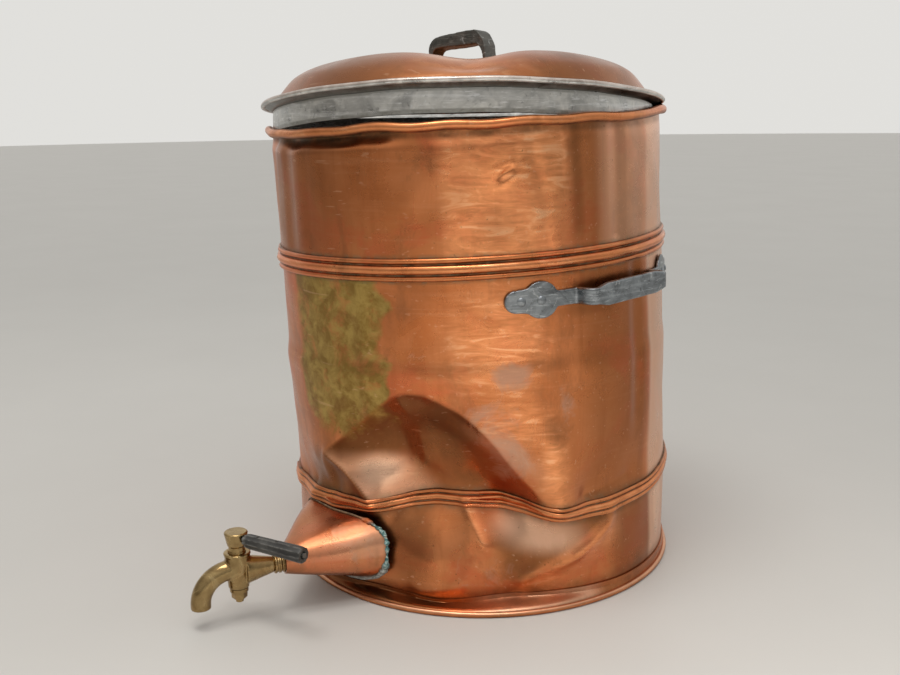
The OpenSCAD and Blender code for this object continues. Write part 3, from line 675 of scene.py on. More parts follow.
def course_masks(az, h):
    """Where each course is polished, dulled, stained or dirty, and where painted highlights, painted light
    and painted shade go.
    """
    low, above_low, upper = h < LOWER_JOINT, h > LOWER_JOINT, h > UPPER_JOINT
    lit_upper = smooth(h, UPPER_JOINT, UPPER_JOINT + 30)
    wander = 1.6 * np.sin(h / 9) + 1.1 * np.sin(h / 4.1 + 1)
    patina = smooth(az, -107, -101) * (1 - smooth(az + wander, -71, -66.5)) * (h < UPPER_JOINT)
    patina = patina * smooth(h - 1.2 * np.abs(az + 86), 128, 172)

    right_of_edge = beside(az, h, *FACET_EDGE)[0]
    facet = smooth(right_of_edge, 0, 2) * above_low * (1 - smooth(h, 120, 140))
    facet = facet * (1 - smooth(az + 0.25 * (h - 110), -74, -60))
    left_of_facet = smooth(-right_of_edge, 0, 3) * blob(az, h, (-96, 104), (17, 40))
    under = below_lip(az, h)
    in_dent = smooth(under, -1, 3) * (1 - 0.45 * smooth(under, 15, 90)) * (1 - 0.9 * facet)
    in_dent = in_dent * (1 - smooth(az, -27, -24)) * (1 - 0.5 * smooth(az, -52, -36))
    over, along, length = beside(az, h, *LOW_RIDGE)
    shaded = smooth(over, 1, 8) * (1 - 0.6 * smooth(over, 18, 60))
    shaded = shaded * span(along, -20, 10, length + 5, length + 30)
    # painted shade in the big dent, left of the facet, beside the low ridge and beside the boss, a painted
    # shadow under the right handle, painted shade on the dim upper left and along two flutes; also darker
    # right of the dent, low on the right and in one patch
    painted_shade_and_darkening = np.maximum.reduce([
        above_low * 0.9 * in_dent,
        above_low * 0.95 * left_of_facet,
        above_low * 0.42 * span(az, -20, -8, 10, 14),
        low * 0.6 * span(az, -8, 0, 14, 20),
        low * (0.72 * shaded + 0.7 * blob(az, h, (-68, 52), (12, 54))),
        (h < UPPER_JOINT) * blobs(az, h, [(0.35, (-82, 235), (7, 26))]),
        # painted shadow under the right handle
        (h < UPPER_JOINT) * blobs(az, h, [(0.62, (-9, 262), (17, 17))]),
        0.55 * span(-az, 60, 95, 112, 122) * smooth(h, UPPER_JOINT, UPPER_JOINT + 5),
        0.6 * bump(az, -14, 4.5) * lit_upper,
        0.5 * bump(az, 1, 3) * lit_upper,
    ])
    # painted light on the dent's sloping right wall: less painted shade and paler there
    slope = tilted_blob(az, h, (-37, 142), 55, 18, -37) * above_low

    # painted highlights: polished patches where the light reflects, the window's reflection on the upper
    # course, the up-facing facet, one crease of the lower course and one side of the low ridge
    shine = blobs(az, h, POLISH_AND_HIGHLIGHTS)
    lit = span(az, -53, -48, -22, -14) * smooth(h, UPPER_JOINT, UPPER_JOINT + 4)
    low_shine = 0.8 * crease(az, h, (-51.5, 86), (-43.5, 46), 7, 2)
    low_shine = low_shine + 0.6 * span(-over, 0, 4, 10, 34) * smooth(along, -10, 10)
    shine = np.maximum(shine, 0.9 * lit) + 0.6 * facet + low * low_shine
    # painted light: on the facet, a pale reflection along the right edge and right of centre on the upper
    # course, the listed patches, a pinkish reflection in the lower course and the dent's slope
    pale = 0.5 * facet + 0.75 * span(az, 13, 16, 28, 46) + 0.35 * span(az, -10, -4, 13, 16) * upper
    pale = pale + blobs(az, h, PAINTED_LIGHT_PATCHES) + 0.7 * low * blob(az, h, (-28, 66), (17, 24)) + 0.3 * slope

    # dark joints, darker towards the bottom, and a painted shadow under the rim roll
    at_joint = 1 - smooth(np.abs(h - LOWER_JOINT), 6, 13)
    at_upper = 1 - smooth(np.abs(h - UPPER_JOINT), 9, 13)
    under_rim = smooth(h, RIM_H - 12, RIM_H - 7) * (0.35 + 0.12 * np.clip(rim_pinch(az), 0, 5))
    near_foot = 1 - smooth(h, FOOT_TOP, FOOT_TOP + 12)
    return {
        "patina": patina,
        "painted_shade_and_darkening": painted_shade_and_darkening * (1 - 0.7 * slope),
        "shine": shine,
        "smear": blobs(az, h, SMEARED) + low * blobs(az, h, LOW_SMEARS_AND_REFLECTION),
        "grime_and_painted_shade": 0.5 * near_foot + 0.45 * at_joint + 0.5 * at_upper + under_rim,
        "green": 0.8 * at_upper + 0.4 * at_joint,
        "pale": pale,
    }


def course(name, node, heights):
    az = columns()
    grid_az, grid_h = np.broadcast_arrays(az[None, :], np.asarray(heights, float)[:, None])
    points = shell(wall(grid_az, grid_h), SHEET)
    masks = course_masks(grid_az, grid_h)
    # the inside is painted darker and duller all over
    double = {}
    for mask, values in masks.items():
        inside = np.full_like(values, {"painted_shade_and_darkening": 0.75, "smear": 0.55}.get(mask, 0.0))
        double[mask] = np.concatenate([values, inside])
    faces = quads(len(points), len(az), close_rows=True)
    piece(name, "urn", node, points, faces, COPPER, double, sharp=60)


course("lower_course_dented", "lower_course", np.concatenate([
    np.arange(2.4, 12, 0.9), np.arange(12, LOWER_JOINT - 1, 2.0), [LOWER_JOINT]
]))
course("middle_course_dented", "middle_course", np.concatenate([
    [LOWER_JOINT + 0.01], np.arange(LOWER_JOINT + 2, 196, 2.0), np.arange(196, UPPER_JOINT - 2, 3.0),
    [UPPER_JOINT],
]))
course("upper_course_dented", "upper_course", np.concatenate([
    np.arange(UPPER_JOINT, RIM_H - 6, 1.9), np.arange(RIM_H - 6, RIM_H - 2.5, 1.1)
]))


def moulding(v, tall, lift):
    """How far a moulded strip stands out at v from its middle: a broad bead between two narrow ones."""
    def bead(at, radius, base):
        return base + np.sqrt(np.maximum(radius ** 2 - (v - at) ** 2, 0)) * (np.abs(v - at) < radius)
    edge = 0.38 * tall
    beads = [bead(0, 0.20 * tall, 0.2), bead(-edge, 0.115 * tall, 0.4), bead(edge, 0.115 * tall, 0.4)]
    return lift + np.maximum.reduce([np.full_like(v, 0.8)] + beads)


def band(name, node, joint, tall, lift, lap):
    """A moulded strip that follows the dented wall. One end laps over the other at azimuth lap."""
    az = columns()
    v = np.linspace(-tall / 2, tall / 2, 45)
    out = moulding(v, tall, lift)
    lap_lift = 1.5 * (az > lap) * (1 - smooth(az, lap, lap + 22))
    front = wall(az[None, :], joint + v[:, None], out[:, None] + lap_lift[None, :])
    rear = wall(az[None, :], joint + v[::-4, None], lift * 0.5 - 0.1)
    # darker and greener in the hollows between the beads, darker at the lap, and a painted highlight along
    # the bead crests
    hollow = 1 - smooth(out - lift, 0.8, 0.11 * tall)
    lapped = bump(az, lap, 1.2)
    grime_and_painted_shade = np.clip(0.9 * hollow[:, None] + lapped[None, :], 0, 1)
    green = np.broadcast_to(0.6 * hollow[:, None], grime_and_painted_shade.shape)
    shine = np.broadcast_to(0.55 * smooth(out - lift, 0.10 * tall, 0.2 * tall)[:, None], grime_and_painted_shade.shape)
    pad = np.zeros(rear.shape[:2])
    masks = {"grime_and_painted_shade": np.concatenate([grime_and_painted_shade, pad + 1]), "green": np.concatenate([green, pad]),
             "shine": np.concatenate([shine, pad])}
    points = np.concatenate([front, rear])
    piece(name, "urn", node, points, quads(len(points), len(az), True), COPPER, masks)


band("lower_band_dented", "lower_band", LOWER_JOINT, LOWER_BAND_TALL, 0.45, -128)
band("upper_band_lapped", "upper_band", UPPER_JOINT, UPPER_BAND_TALL, 0.0, -119)


def tube_round(name, node, material, az, ring, height, tube, sides, masks=None, place=settle):
    """A rolled edge or wire: a round section carried round the urn at that radius and height."""
    turn = np.radians(np.arange(sides) * 360 / sides)
    r = ring[None, :] + tube * np.cos(turn)[:, None]
    h = height[None, :] + tube * np.sin(turn)[:, None]
    a = np.radians(az)[None, :]
    points = place(r * np.cos(a), r * np.sin(a), h, np.zeros_like(h))
    masks = {name: value(turn)[:, None] for name, value in (masks or {}).items()}
    piece(name, "urn", node, points, quads(sides, len(az), True), material, masks)


def rim_pieces():
    az = columns(0.75, 1.5)
    ring = RIM_RING - 0.22 * rim_pinch(az) + 0.5 * waves(az, 0 * az, 18, 60, 12)
    height = RIM_H - rim_sag(az) + 0.45 * waves(az, 0 * az, 22, 60, 14)
    # painted shadow along the roll's underside and a painted highlight along its upper outer side
    under = {"grime_and_painted_shade": lambda t: 0.85 * smooth(-np.sin(t), 0.35, 0.9),
             "shine": lambda t: 0.55 * smooth(np.cos(t - 0.5), 0.3, 0.9)}
    tube_round("rim_roll_worn", "rim_roll", COPPER, az, ring, height, RIM_TUBE, 20, under)
    tube_round("rim_wire_inside", "rim_wire", IRON, az, ring, height, 2.3, 10)


rim_pieces()


def foot_pieces():
    """The foot's bead stays round, and the strip above it is pushed in with the wall."""
    az = columns(0.75, 1.5)
    ring = np.full_like(az, WALL_R + FOOT_TUBE + 0.1)
    turn = np.radians(np.arange(20) * 18)
    a = np.radians(az)[None, :]
    r = ring[None, :] + FOOT_TUBE * np.cos(turn)[:, None]
    z = FOOT_TUBE + FOOT_TUBE * np.sin(turn)[:, None] + 0 * r
    bead = np.stack([r * np.cos(a), r * np.sin(a), z], -1)
    h = np.concatenate([np.arange(2.4, 9, 0.8), np.arange(9, FOOT_TOP + 0.1, 1.0)])
    strip = wall(az[None, :], h[:, None])
    strip = shell(strip + face_normals(strip) * 1.5, 1.2)
    bead_faces = quads(len(bead), len(az), True)
    strip_faces = quads(len(strip), len(az), True) + bead.shape[0] * bead.shape[1]
    points = np.concatenate([bead, strip])
    on_bead = (np.arange(len(points)) < len(bead))[:, None]
    t = np.append(turn, np.zeros(len(strip)))[:, None]
    # painted light on the strip at the ledge; a painted highlight and painted light along the top of the
    # bead; the strip darker to the left
    ledge_painted_light = 0.55 * span(az, -52, -40, -14, -6)
    masks = {
        "grime_and_painted_shade": np.where(on_bead, 0.25, 0.4),
        "shine": on_bead * 0.6 * smooth(np.sin(t + 0.6), 0.2, 0.9),
        "pale": np.where(on_bead, 0.5 * smooth(np.sin(t + 0.3), 0.3, 0.95), ledge_painted_light),
        "painted_shade_and_darkening": np.where(on_bead, 0, 0.7 * (1 - smooth(az, -62, -52))),
    }
    faces = np.concatenate([bead_faces, strip_faces])
    piece("foot_ring_crushed", "urn", "foot_ring", points, faces, COPPER, masks, sharp=60)
    tube_round("foot_wire_inside", "foot_wire", IRON, az, ring, np.full_like(az, FOOT_TUBE),
               1.3, 10, place=lambda x, y, h, drop: np.stack([x, y, h], -1))


foot_pieces()

# ---------------------------------------------------------------- boss and solder
BOSS_LOW, BOSS_HIGH = corners("tap_boss")
BOSS_MID_Z = (BOSS_LOW[2] + BOSS_HIGH[2]) / 2
BOSS_HALF_Z = (BOSS_HIGH[2] - BOSS_LOW[2]) / 2
BOSS_HALF_AZ = 17.5
BOSS_SQUARE = 0.65
BOSS_END_R = 11.5
BOSS_END = np.array([3.5, BOSS_LOW[1] + 1.0, 49.0])
TAP_AXIS = np.array(JOINTS["tap_turn"]["pos_m"]) / MM
TAP_OUT = np.array([TAP_AXIS[0] - BOSS_END[0], TAP_AXIS[1] - BOSS_END[1], 0])
TAP_OUT /= np.linalg.norm(TAP_OUT)
TAP_SIDE = np.array([-TAP_OUT[1], TAP_OUT[0], 0])


def squared(t, power):
    return np.sign(t) * np.abs(t) ** power


def shoulder(turn):
    """1 at the boss's swollen upper left."""
    return smooth(np.cos(turn - math.radians(132)), 0.1, 1.0)


def boss_foot(turn, grow):
    """Where the boss meets the dented wall."""
    power = BOSS_SQUARE - 0.24 * shoulder(turn)
    across = BOSS_HALF_AZ + math.degrees(grow / WALL_R)
    az = -90 + across * squared(np.cos(turn), power) - 1.5 * shoulder(turn) - smooth(np.cos(turn), 0.2, 1)
    h = BOSS_MID_Z + (BOSS_HALF_Z + grow) * squared(np.sin(turn), power) + 4 * shoulder(turn)
    seat = wall(az, h, 0.2)
    round_wall = np.stack([WALL_R * np.cos(np.radians(az)), WALL_R * np.sin(np.radians(az)), h], -1)
    return 0.5 * seat + 0.5 * round_wall


def boss_end(turn, grow):
    ring = np.cos(turn)[:, None] * TAP_SIDE + np.sin(turn)[:, None] * [0, 0, 1]
    return BOSS_END + (BOSS_END_R + grow) * ring


def boss_ring(turn, out, grow):
    ease = out * (0.85 + 0.15 * out)
    ring = (1 - ease) * boss_foot(turn, grow) + ease * boss_end(turn, grow)
    fat = 1.5 * math.sin(math.pi * out) * smooth(-np.cos(turn), -0.2, 0.9)
    fat = fat + 1.6 * math.sin(math.pi * min(out * 0.9 + 0.12, 1)) * shoulder(turn)
    knock = 1.1 * math.sin(math.pi * out) * np.sin(3 * turn + 5 * out)
    direction = np.stack([np.cos(turn), 0 * turn, np.sin(turn)], -1)
    return ring + direction * (fat + 0.4 * knock)[:, None]


def boss():
    turn = np.radians(np.arange(0, 360, 2.5))
    outs = np.linspace(0, 1, 34)
    outside = [boss_ring(turn, out, 0) for out in outs]
    inside = [boss_ring(turn, out, -1.5) for out in outs[::-1]]
    points = np.array(outside + inside)
    share = np.concatenate([outs, outs[::-1]])[:, None]
    across = turn[None, :]
    underside = smooth(-np.sin(across), 0.1, 0.8)
    seam = 0.5 * bump(share, 0.13, 0.012) * (np.cos(across) > 0.1)
    # a painted highlight and pale painted light on the upper right over a paler tone, painted shade on the
    # underside and the swollen upper left, darker towards the tap's end, and dark at the wall and along a
    # seam
    masks = {
        "shine": 0.35 * np.exp(-((across - 0.9) / 0.5) ** 2) * (1 - 0.4 * share),
        "painted_shade_and_darkening": 0.55 * underside + 0.35 * smooth(share, 0.8, 1.0) + 0.35 * shoulder(across),
        "grime_and_painted_shade": 0.8 * (1 - smooth(share, 0.0, 0.05)) + seam,
        "smear": 0.7 * np.exp(-((share - 0.35) / 0.3) ** 2) * smooth(np.cos(across - 0.7), 0.3, 1.0),
        "pale": 0.12 + 0.35 * np.exp(-((across - 0.25) / 0.5) ** 2) * (1 - share),
    }
    faces = quads(len(points), len(turn), True)
    piece("tap_boss_worn", "urn", "tap_boss", points, faces, COPPER, masks)


def solder():
    """A lumpy fillet, crusted with green on its right-hand side, with a red drop at its top."""
    turn = np.radians(np.arange(0, 360, 0.9))
    rng = np.random.default_rng(7)
    phases = rng.uniform(0, 2 * math.pi, 9)
    lumps = sum(np.sin((7 + 6 * i) * turn + phase) / (i + 1) ** 0.4 for i, phase in enumerate(phases))
    right = smooth(np.cos(turn - 0.25), 0.45, 0.85)
    below = smooth(np.cos(turn + 1.05), 0.5, 0.9)
    blob_top = np.exp(-((turn - 1.15) / 0.14) ** 2)
    thick = 1.0 + 0.12 * lumps + right * (0.7 + 0.25 * lumps) + 1.5 * below + 1.6 * blob_top
    path = 0.5 * (boss_foot(turn, 1.1) + boss_ring(turn, 0.03, 0.3))
    outward = path - path.mean(0)
    outward /= np.linalg.norm(outward, axis=1, keepdims=True)
    away = np.array([0, -1.0, 0])
    section = np.radians(np.arange(0, 360, 30))
    rings = [path + (outward * math.cos(s) + away * math.sin(s)) * thick[:, None] for s in section]
    points = np.array(rings)
    masks = {"green": right * (1 - below), "shine": blob_top, "smear": below}
    faces = quads(len(points), len(turn), True)
    piece("boss_solder_crust", "urn", "boss_solder", points, faces, CRUST, masks)


boss()
solder()

# ---------------------------------------------------------------- tap
soften("tap_body", "urn", BRASS, 0.62, 12, hammered(0.05, 7))
soften("tap_collar", "urn", BRASS, 0.4, 2)
soften("tap_plug", "tap_key", BRASS, 0.42, 5, hammered(0.04, 5))
soften("plug_washer", "tap_key", BRASS, 0.35, 2)
soften("plug_nut", "tap_key", BRASS, 0.35, 2)


def lever_frame():
    """The start of the lever on the plug's axis, and its directions along, across and up."""
    start = np.array([TAP_AXIS[0], TAP_AXIS[1], middle("lever_grip")[2]])
    along = middle("lever_pins") - start
    along[2] = 0
    along /= np.linalg.norm(along)
    return start, along, np.array([-along[1], along[0], 0]), np.array([0, 0, 1.0])


def lever_grip():
    """Ten-sided grip with a shallow flute in each side, a ragged inner end and a bored outer end."""
    start, along, across, up = lever_frame()
    low, high = corners("lever_grip")
    far_end = max(np.dot((x, high[1], high[2]) - start, along) for x in (low[0], high[0]))
    first, last = 12.5, min(far_end, 72.0)
    sides, per_side, grip_r, flat = 10, 6, 6.7, math.cos(math.pi / 10)
    turn = np.arange(sides * per_side) * 2 * math.pi / (sides * per_side)
    local = (turn % (2 * math.pi / sides)) - math.pi / sides
    facet = grip_r * flat / np.cos(local) - 0.30 * np.cos(local * sides / 2) ** 2
    rng = np.random.default_rng(11)
    ragged = rng.uniform(-1.4, 0.6, len(turn)) + 1.2 * np.sin(2 * turn)
    rings, wear = [], []
    for share in np.linspace(0, 1, 40):
        station = first + share * (last - first)
        flare = 0.95 + 0.10 * share ** 1.4 - 0.05 * (1 - smooth(share, 0.0, 0.06))
        edge = 1 - 0.08 * smooth(share, 0.965, 1.0)
        ring_r = facet * flare * edge
        place = station + ragged * (1 - smooth(share, 0, 0.05))
        rings.append((place, ring_r))
        wear.append(np.maximum(0.85 * np.abs(local * sides / math.pi) ** 6, 0.8 * (share < 0.05)))
    for r_share, back in ((0.62, 0.0), (0.50, 0.5), (0.42, 2.5), (0.02, 3.0)):
        rings.append((np.full_like(turn, last - back), facet * r_share))
        wear.append(np.full_like(turn, 0.15))
    rings.insert(0, (first + 0.8 + 0 * ragged, facet * 0.3))
    wear.insert(0, np.full_like(turn, 0.9))
    points = []
    for place, r in rings:
        section = np.outer(r * np.cos(turn), across) + np.outer(r * np.sin(turn), up)
        points.append(start + np.outer(place, along) + section)
    count = len(turn)
    faces = list(quads(len(points), count))
    faces.append(range(count)[::-1])
    faces.append(range((len(points) - 1) * count, len(points) * count))
    piece("lever_grip_worn", "tap_key", "lever_grip", np.array(points), faces, WOOD,
          {"shine": np.array(wear)}, sharp=24)


lever_grip()

# ---------------------------------------------------------------- side handles
for side in ("right", "left"):
    soften(side + "_handle", "urn", TIN, 0.7, 16, hammered(0.25, 20))

# ---------------------------------------------------------------- lid
TILT = math.radians(4.1)
LID_UP_AZ = math.radians(-45)
LID_TURN = turn_matrix((math.sin(LID_UP_AZ), -math.cos(LID_UP_AZ), 0), TILT)
BRIM_TUBE = 2.2
LID_CENTRE = middle("lid_brim_wire") + LID_TURN @ np.array([-0.8, -0.8, BRIM_TUBE])
DOME_R = 173.5
DOME_RISE = 31.0
COLLAR_R = 175.0
BRIM_RING = 183.8
BRIM_DROP = 7.0


def lid_warp(az):
    """The lid's edge isn't flat: it stands up in front and hangs down at both sides."""
    psi = np.radians(az) - LID_UP_AZ
    return -4.1 + 2.9 * np.cos(2 * psi) + 0.8 * np.cos(psi) + 0.65 * np.sin(psi)


def lid_place(x, y, z):
    """From coordinates round the lid's axis to the lid as it lies, warped and tilted."""
    az = np.degrees(np.arctan2(y, x))
    share = np.clip(np.hypot(x, y) / COLLAR_R, 0, 1.1) ** 2
    bent = np.stack([x, y, z + lid_warp(az) * share], -1)
    return bent @ LID_TURN.T + LID_CENTRE


def dome_height(x, y):
    """The dome above the brim's edge, with its knocks."""
    r = np.hypot(x, y)
    az = np.degrees(np.arctan2(y, x))
    z = (DOME_RISE - 0.8) * (1 - np.clip(r / DOME_R, 0, 1) ** 6)
    right, near = (x + y) * math.sqrt(0.5), (x - y) * math.sqrt(0.5)
    across = [-175, -150, -115, -65, -34, -10, 9, 24, 48, 79, 117, 144, 168]
    change = [1.5, 5.0, 3.2, 1.2, -0.8, -4.2, -6.6, -5.0, 0.8, 2.6, 3.6, 5.6, 4.6]
    grid = np.arange(-190, 191, 2.0)
    spread = np.exp(-0.5 * (np.arange(-15, 16) * 2 / 9) ** 2)
    padded = np.pad(np.interp(grid, across, change), 15, "edge")
    soft_change = np.convolve(padded, spread / spread.sum(), "valid")
    z = z + np.interp(right, grid, soft_change) * (1 - smooth(r, 156, 173.5))
    z = z - 2.5 * np.exp(-((right - 14) / 22) ** 2 - ((near - 20) / 50) ** 2)
    z = z - 2.0 * np.exp(-((right - 2) / 40) ** 2 - ((near - 110) / 40) ** 2)
    return z + 0.5 * waves(az, r, 7, 170, 21) * smooth(r, 15, 90) * (1 - smooth(r, 150, 172))


def lid_dome():
    az = np.arange(0, 360, 1.25)
    steps = np.sin(np.radians(np.linspace(90, 1.2, 64)))
    radii = DOME_R * steps
    a = np.radians(az)[None, :]
    x, y = radii[:, None] * np.cos(a), radii[:, None] * np.sin(a)
    top = lid_place(x, y, dome_height(x, y))
    skirt = [lid_place(DOME_R * np.cos(a), DOME_R * np.sin(a), np.full_like(a, z)) for z in (-4.0, -2.0)]
    outer = np.concatenate(skirt + [top])
    inner_x, inner_y = x * (1 - 1.4 / DOME_R), y * (1 - 1.4 / DOME_R)
    inner = lid_place(inner_x, inner_y, dome_height(x, y) - 1.4)
    skirt_in = [lid_place((DOME_R - 1.4) * np.cos(a), (DOME_R - 1.4) * np.sin(a), np.full_like(a, -4.0))]
    points = np.concatenate([outer, inner[::-1]] + skirt_in)
    rows, cols = len(points), len(az)
    seam = len(outer) - 1
    faces = [f for i, f in enumerate(quads(rows, cols, True)) if i // cols != seam]
    faces.append(range(seam * cols, (seam + 1) * cols))
    faces.append(range((seam + 1) * cols, (seam + 2) * cols)[::-1])
    r_share = np.concatenate([[1, 1], radii / DOME_R])[:, None]
    grid_az = np.broadcast_to(az[None, :], (len(outer), cols))
    outer_x = r_share * DOME_R * np.cos(np.radians(grid_az))
    outer_y = r_share * DOME_R * np.sin(np.radians(grid_az))
    near = (outer_x - outer_y) * math.sqrt(0.5)
    right = (outer_x + outer_y) * math.sqrt(0.5)
    # a painted highlight down the middle of the near slope, painted shade to both sides of it and towards the
    # near edge over an overall darker tone, dark at the edge, and the underside painted darker and duller
    shine = 0.8 * np.exp(-((right - 5) / 45) ** 2) * smooth(near, 70, 150)
    painted_shade_and_darkening = (0.45 + 0.40 * smooth(near, 40, 150)) * (1 - 0.8 * np.exp(-((right - 5) / 55) ** 2))
    grime_and_painted_shade = np.broadcast_to(0.5 * smooth(r_share, 0.985, 1.0), near.shape)
    pad = np.zeros((len(inner) + 1, cols))
    masks = {"shine": np.concatenate([shine, pad]), "painted_shade_and_darkening": np.concatenate([painted_shade_and_darkening, pad + 0.8]),
             "grime_and_painted_shade": np.concatenate([grime_and_painted_shade, pad]), "smear": np.concatenate([0 * shine, pad + 0.5])}
    piece("lid_dome_dented", "lid", "lid_dome", points, faces, COPPER, masks, sharp=60)


def ring_profile(name, node, outline, material, masks):
    """A sheet ring of the lid: an outline of (radius, height) points carried round."""
    az = np.arange(0, 360, 1.0)
    a = np.radians(az)[None, :]
    r = np.array([p[0] for p in outline])[:, None]
    z = np.array([p[1] for p in outline])[:, None] + 0 * a
    ripple = 0.25 * waves(az, 0 * az, 16, 60, 31)[None, :]
    points = lid_place((r + ripple) * np.cos(a), (r + ripple) * np.sin(a), z + ripple * 0.5)
    masks = {name: np.array(values)[:, None] for name, values in masks.items()}
    piece(name, "lid", node, points, quads(len(outline), len(az), True), material, masks)


def lid_brim():
    """Flares up and out from the collar to a wired edge."""
    inner, low = COLLAR_R - 1.4, -BRIM_DROP - 0.8
    outline = [(inner, low), (COLLAR_R, low)]
    flare = BRIM_RING - BRIM_TUBE - COLLAR_R
    for share in (0.25, 0.5, 0.75, 0.9):
        outline.append((COLLAR_R + share * flare, low + share ** 1.3 * 4.6))
    for angle in range(215, 215 + 291, 18):
        t = math.radians(angle)
        outline.append((BRIM_RING + BRIM_TUBE * math.cos(t), -BRIM_TUBE + BRIM_TUBE * math.sin(t)))
    for share in (0.75, 0.5, 0.25):
        outline.append((COLLAR_R + share * flare, low + 1.3 + share ** 1.3 * 4.6))
    outline.append((inner, -BRIM_DROP))
    count = len(outline)
    # painted shade under the flare and a painted highlight along the top of the wired edge
    masks = {
        "painted_shade_and_darkening": [0.75 if 1 <= i <= 6 else 0.0 for i in range(count)],
        "shine": [0.3 if 14 <= i <= 19 else 0.0 for i in range(count)],
    }
    ring_profile("lid_brim_worn", "lid_brim", outline, LID_TIN, masks)


def lid_collar():
    low, high = -BRIM_DROP - 0.8 - 19, -BRIM_DROP - 0.9
    heights = np.linspace(high, low, 16)
    outline = [(COLLAR_R + 0.5 * math.sin(3 * i / 15), z) for i, z in enumerate(heights)]
    outline += [(COLLAR_R - 0.7, low - 0.3)]
    outline += [(COLLAR_R - 1.4 + 0.5 * math.sin(3 * i / 15), heights[i]) for i in range(15, -1, -3)]
    # darker at the top, under the brim, and at the bottom edge
    edge_darkening = [0.5 if i < 2 else (0.7 if 13 <= i <= 16 else 0.1) for i in range(len(outline))]
    ring_profile("lid_collar_worn", "lid_collar", outline, LID_TIN, {"grime_and_painted_shade": edge_darkening})


def lid_wire():
    turn = np.radians(np.arange(0, 360, 36))
    outline = [(BRIM_RING + 1.1 * math.cos(t), -BRIM_TUBE + 1.1 * math.sin(t)) for t in turn]
    ring_profile("lid_wire_inside", "lid_brim_wire", outline, IRON, {})


def sunk(co):
    """How far the knocked dome lies below the clean one, under each point."""
    x, y, _ = ((co - LID_CENTRE) @ LID_TURN).T
    return DOME_RISE * (1 - np.clip(np.hypot(x, y) / DOME_R, 0, 1) ** 6) - dome_height(x, y)


def seated(mesh):
    """The handle's rivets and washers go down with the knocked dome."""
    co = points_of(mesh)
    co[:, 2] -= sunk(co)
    put_points(mesh, co)


def lopsided(mesh):
    """The lid's handle is bent down towards one end and forged by eye, with its feet on the knocked dome."""
    co = points_of(mesh)
    drop = sunk(co)
    centre = middle("lid_handle")
    low, high = corners("lid_handle")
    rise = np.clip((co[:, 2] - low[2] - 4) / (high[2] - low[2] - 4), 0, 1)
    side = (co[:, 0] - centre[0]) / 38
    co[:, 2] -= drop * (1 - rise)
    co[:, 2] -= 2.6 * rise * smooth(-side, 0.25, 1.15) - 0.8 * rise * bump(side, 0.25, 0.6)
    co[:, 2] -= 0.8 * rise * smooth(side, 0.6, 1.1)
    co[:, 0] -= 2.0 * rise * smooth(side, 0.3, 1.0)
    co[:, 0] -= 3.6 * rise
    rough = np.array([noise.noise(Vector(p / 8)) for p in co])
    co[:, 1] += 0.5 * rough
    co[:, 2] += 0.35 * rough
    put_points(mesh, co)
    # painted shade on the handle's left leg
    inner = (1 - smooth(co[:, 0] - centre[0] + 38.5, 4, 9)) * (rise > 0.1)
    inner = inner * (np.abs(co[:, 1] - centre[1]) < 6)
    layer = mesh.attributes.new("grime_and_painted_shade", "FLOAT", "POINT")
    layer.data.foreach_set("value", np.clip(inner, 0, 1).astype(np.float32))


lid_dome()
lid_brim()
lid_collar()
lid_wire()
soften("lid_handle", "lid", IRON, 0.6, 6, lopsided)
soften("lid_handle_rivets", "lid", IRON, 0.35, 3, seated)
soften("lid_handle_roves", "lid", COPPER, 0.35, 2, seated)

# ---------------------------------------------------------------- CAD nodes that stay
for node, material in {
    "base_plate": COPPER, "boss_bush": BRASS, "lever_tang": IRON, "lever_pins": IRON,
    "right_handle_rivets": TIN, "left_handle_rivets": TIN, "right_handle_roves": COPPER,
    "left_handle_roves": COPPER,
}.items():
    mesh = frame["nodes"][node].data
    mesh.materials.clear()
    mesh.materials.append(material)


# ---------------------------------------------------------------- floor, light and camera
def stage_floor():
    mesh = bpy.data.meshes.new("floor")
    bm = bmesh.new()
    bmesh.ops.create_circle(bm, cap_ends=True, segments=96, radius=14)
    bm.to_mesh(mesh)
    bm.free()
    mesh.materials.append(floor_paint())
    floor = bpy.data.objects.new("floor", mesh)
    bpy.context.scene.collection.objects.link(floor)


def toward(az, up):
    az, up = math.radians(az), math.radians(up)
    return math.cos(up) * math.cos(az), math.cos(up) * math.sin(az), math.sin(up)


def down_light(name, az, distance, height, angle, power, colour):
    """A wide soft light that shines straight down at that azimuth and distance."""
    light = bpy.data.lights.new(name, "SPOT")
    light.energy = power
    light.color = colour
    light.spot_size = math.radians(angle)
    light.spot_blend = 1.0
    light.shadow_soft_size = 0.45
    lamp = bpy.data.objects.new(name, light)
    bpy.context.scene.collection.objects.link(lamp)
    lamp.location = Vector(toward(az, 0)) * distance + Vector((0, 0, height))


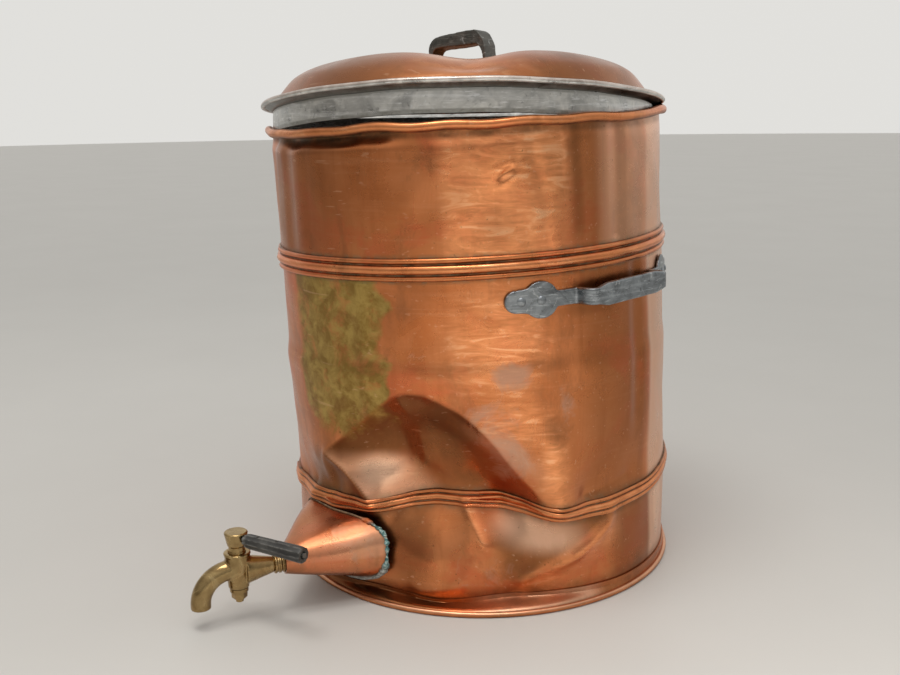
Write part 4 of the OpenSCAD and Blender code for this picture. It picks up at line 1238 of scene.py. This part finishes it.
def room():
    """A pale room: a bright wall behind and to the right, a bright ceiling, and a dimmer side to the left."""
    world = bpy.data.worlds.new("room")
    bpy.context.scene.world = world
    world.use_nodes = True
    n = Nodes(world.node_tree)
    where = n.node("TexCoord", {}).outputs["Generated"]

    def lobe(direction, *stops):
        """A brightness over the angle from a direction, through (cosine, result) stops."""
        facing = n.node("VectorMath", {0: where, 1: direction}, operation="DOT_PRODUCT").outputs["Value"]
        half = n.node("Math", {0: facing, 1: 0.5, 2: 0.5}, operation="MULTIPLY_ADD").outputs[0]
        return n.steps(half, *[(0.5 + cosine / 2, result) for cosine, result in stops])

    grey, darker, darkest = (0.46, 0.45, 0.43), (0.37, 0.355, 0.33), (0.31, 0.29, 0.265)
    side = lobe(toward(-85, 0), (-0.4, grey), (0.3, darker), (0.95, darkest))
    pale = lobe(toward(120, 0), (-0.5, (0.78, 0.775, 0.75)), (0.9, (0.84, 0.83, 0.80)))
    ceiling = lobe(toward(-30, 65), (0.3, (0.72, 0.71, 0.69)), (0.95, (0.95, 0.94, 0.92)))
    walls = n.mix(lobe(toward(118, 0), (0.05, 0), (0.45, 1)), side, pale)
    colour = n.mix(lobe(toward(-60, 72), (0.30, 0), (0.85, 1)), walls, ceiling)
    glow = n.node("Background", {"Color": colour, "Strength": 0.90})
    n.node("OutputWorld", {"Surface": glow.outputs[0]})


def photo_camera():
    """Stands where the photograph was taken from, looking a little down and rolled a little."""
    lens = bpy.data.cameras.new("camera")
    lens.sensor_width = 36
    lens.lens = 41.67
    lens.clip_end = 100
    pitch, roll = 0.2188, -0.0147
    level = Vector((-0.7314, 0.6820, 0))
    right = Vector((0.6820, 0.7314, 0))
    forward = level * math.cos(pitch) - Vector((0, 0, math.sin(pitch)))
    above = level * math.sin(pitch) + Vector((0, 0, math.cos(pitch)))
    axis_x = math.cos(roll) * right + math.sin(roll) * above
    axis_y = -math.sin(roll) * right + math.cos(roll) * above
    camera = bpy.data.objects.new("camera", lens)
    bpy.context.scene.collection.objects.link(camera)
    turned = Matrix((axis_x, axis_y, -forward)).transposed().to_4x4()
    camera.matrix_world = Matrix.Translation((0.7114, -0.7040, 0.4278)) @ turned
    bpy.context.scene.camera = camera
    bpy.context.scene.view_settings.view_transform = "Standard"


stage_floor()
room()
down_light("window", -33, 1.30, 2.3, 60, 215, (1.0, 0.97, 0.93))
down_light("far window", -28, 5.5, 4.0, 110, 520, (1.0, 0.97, 0.93))
down_light("ceiling", -85, 0.8, 2.8, 84, 75, (1.0, 0.98, 0.95))
photo_camera()
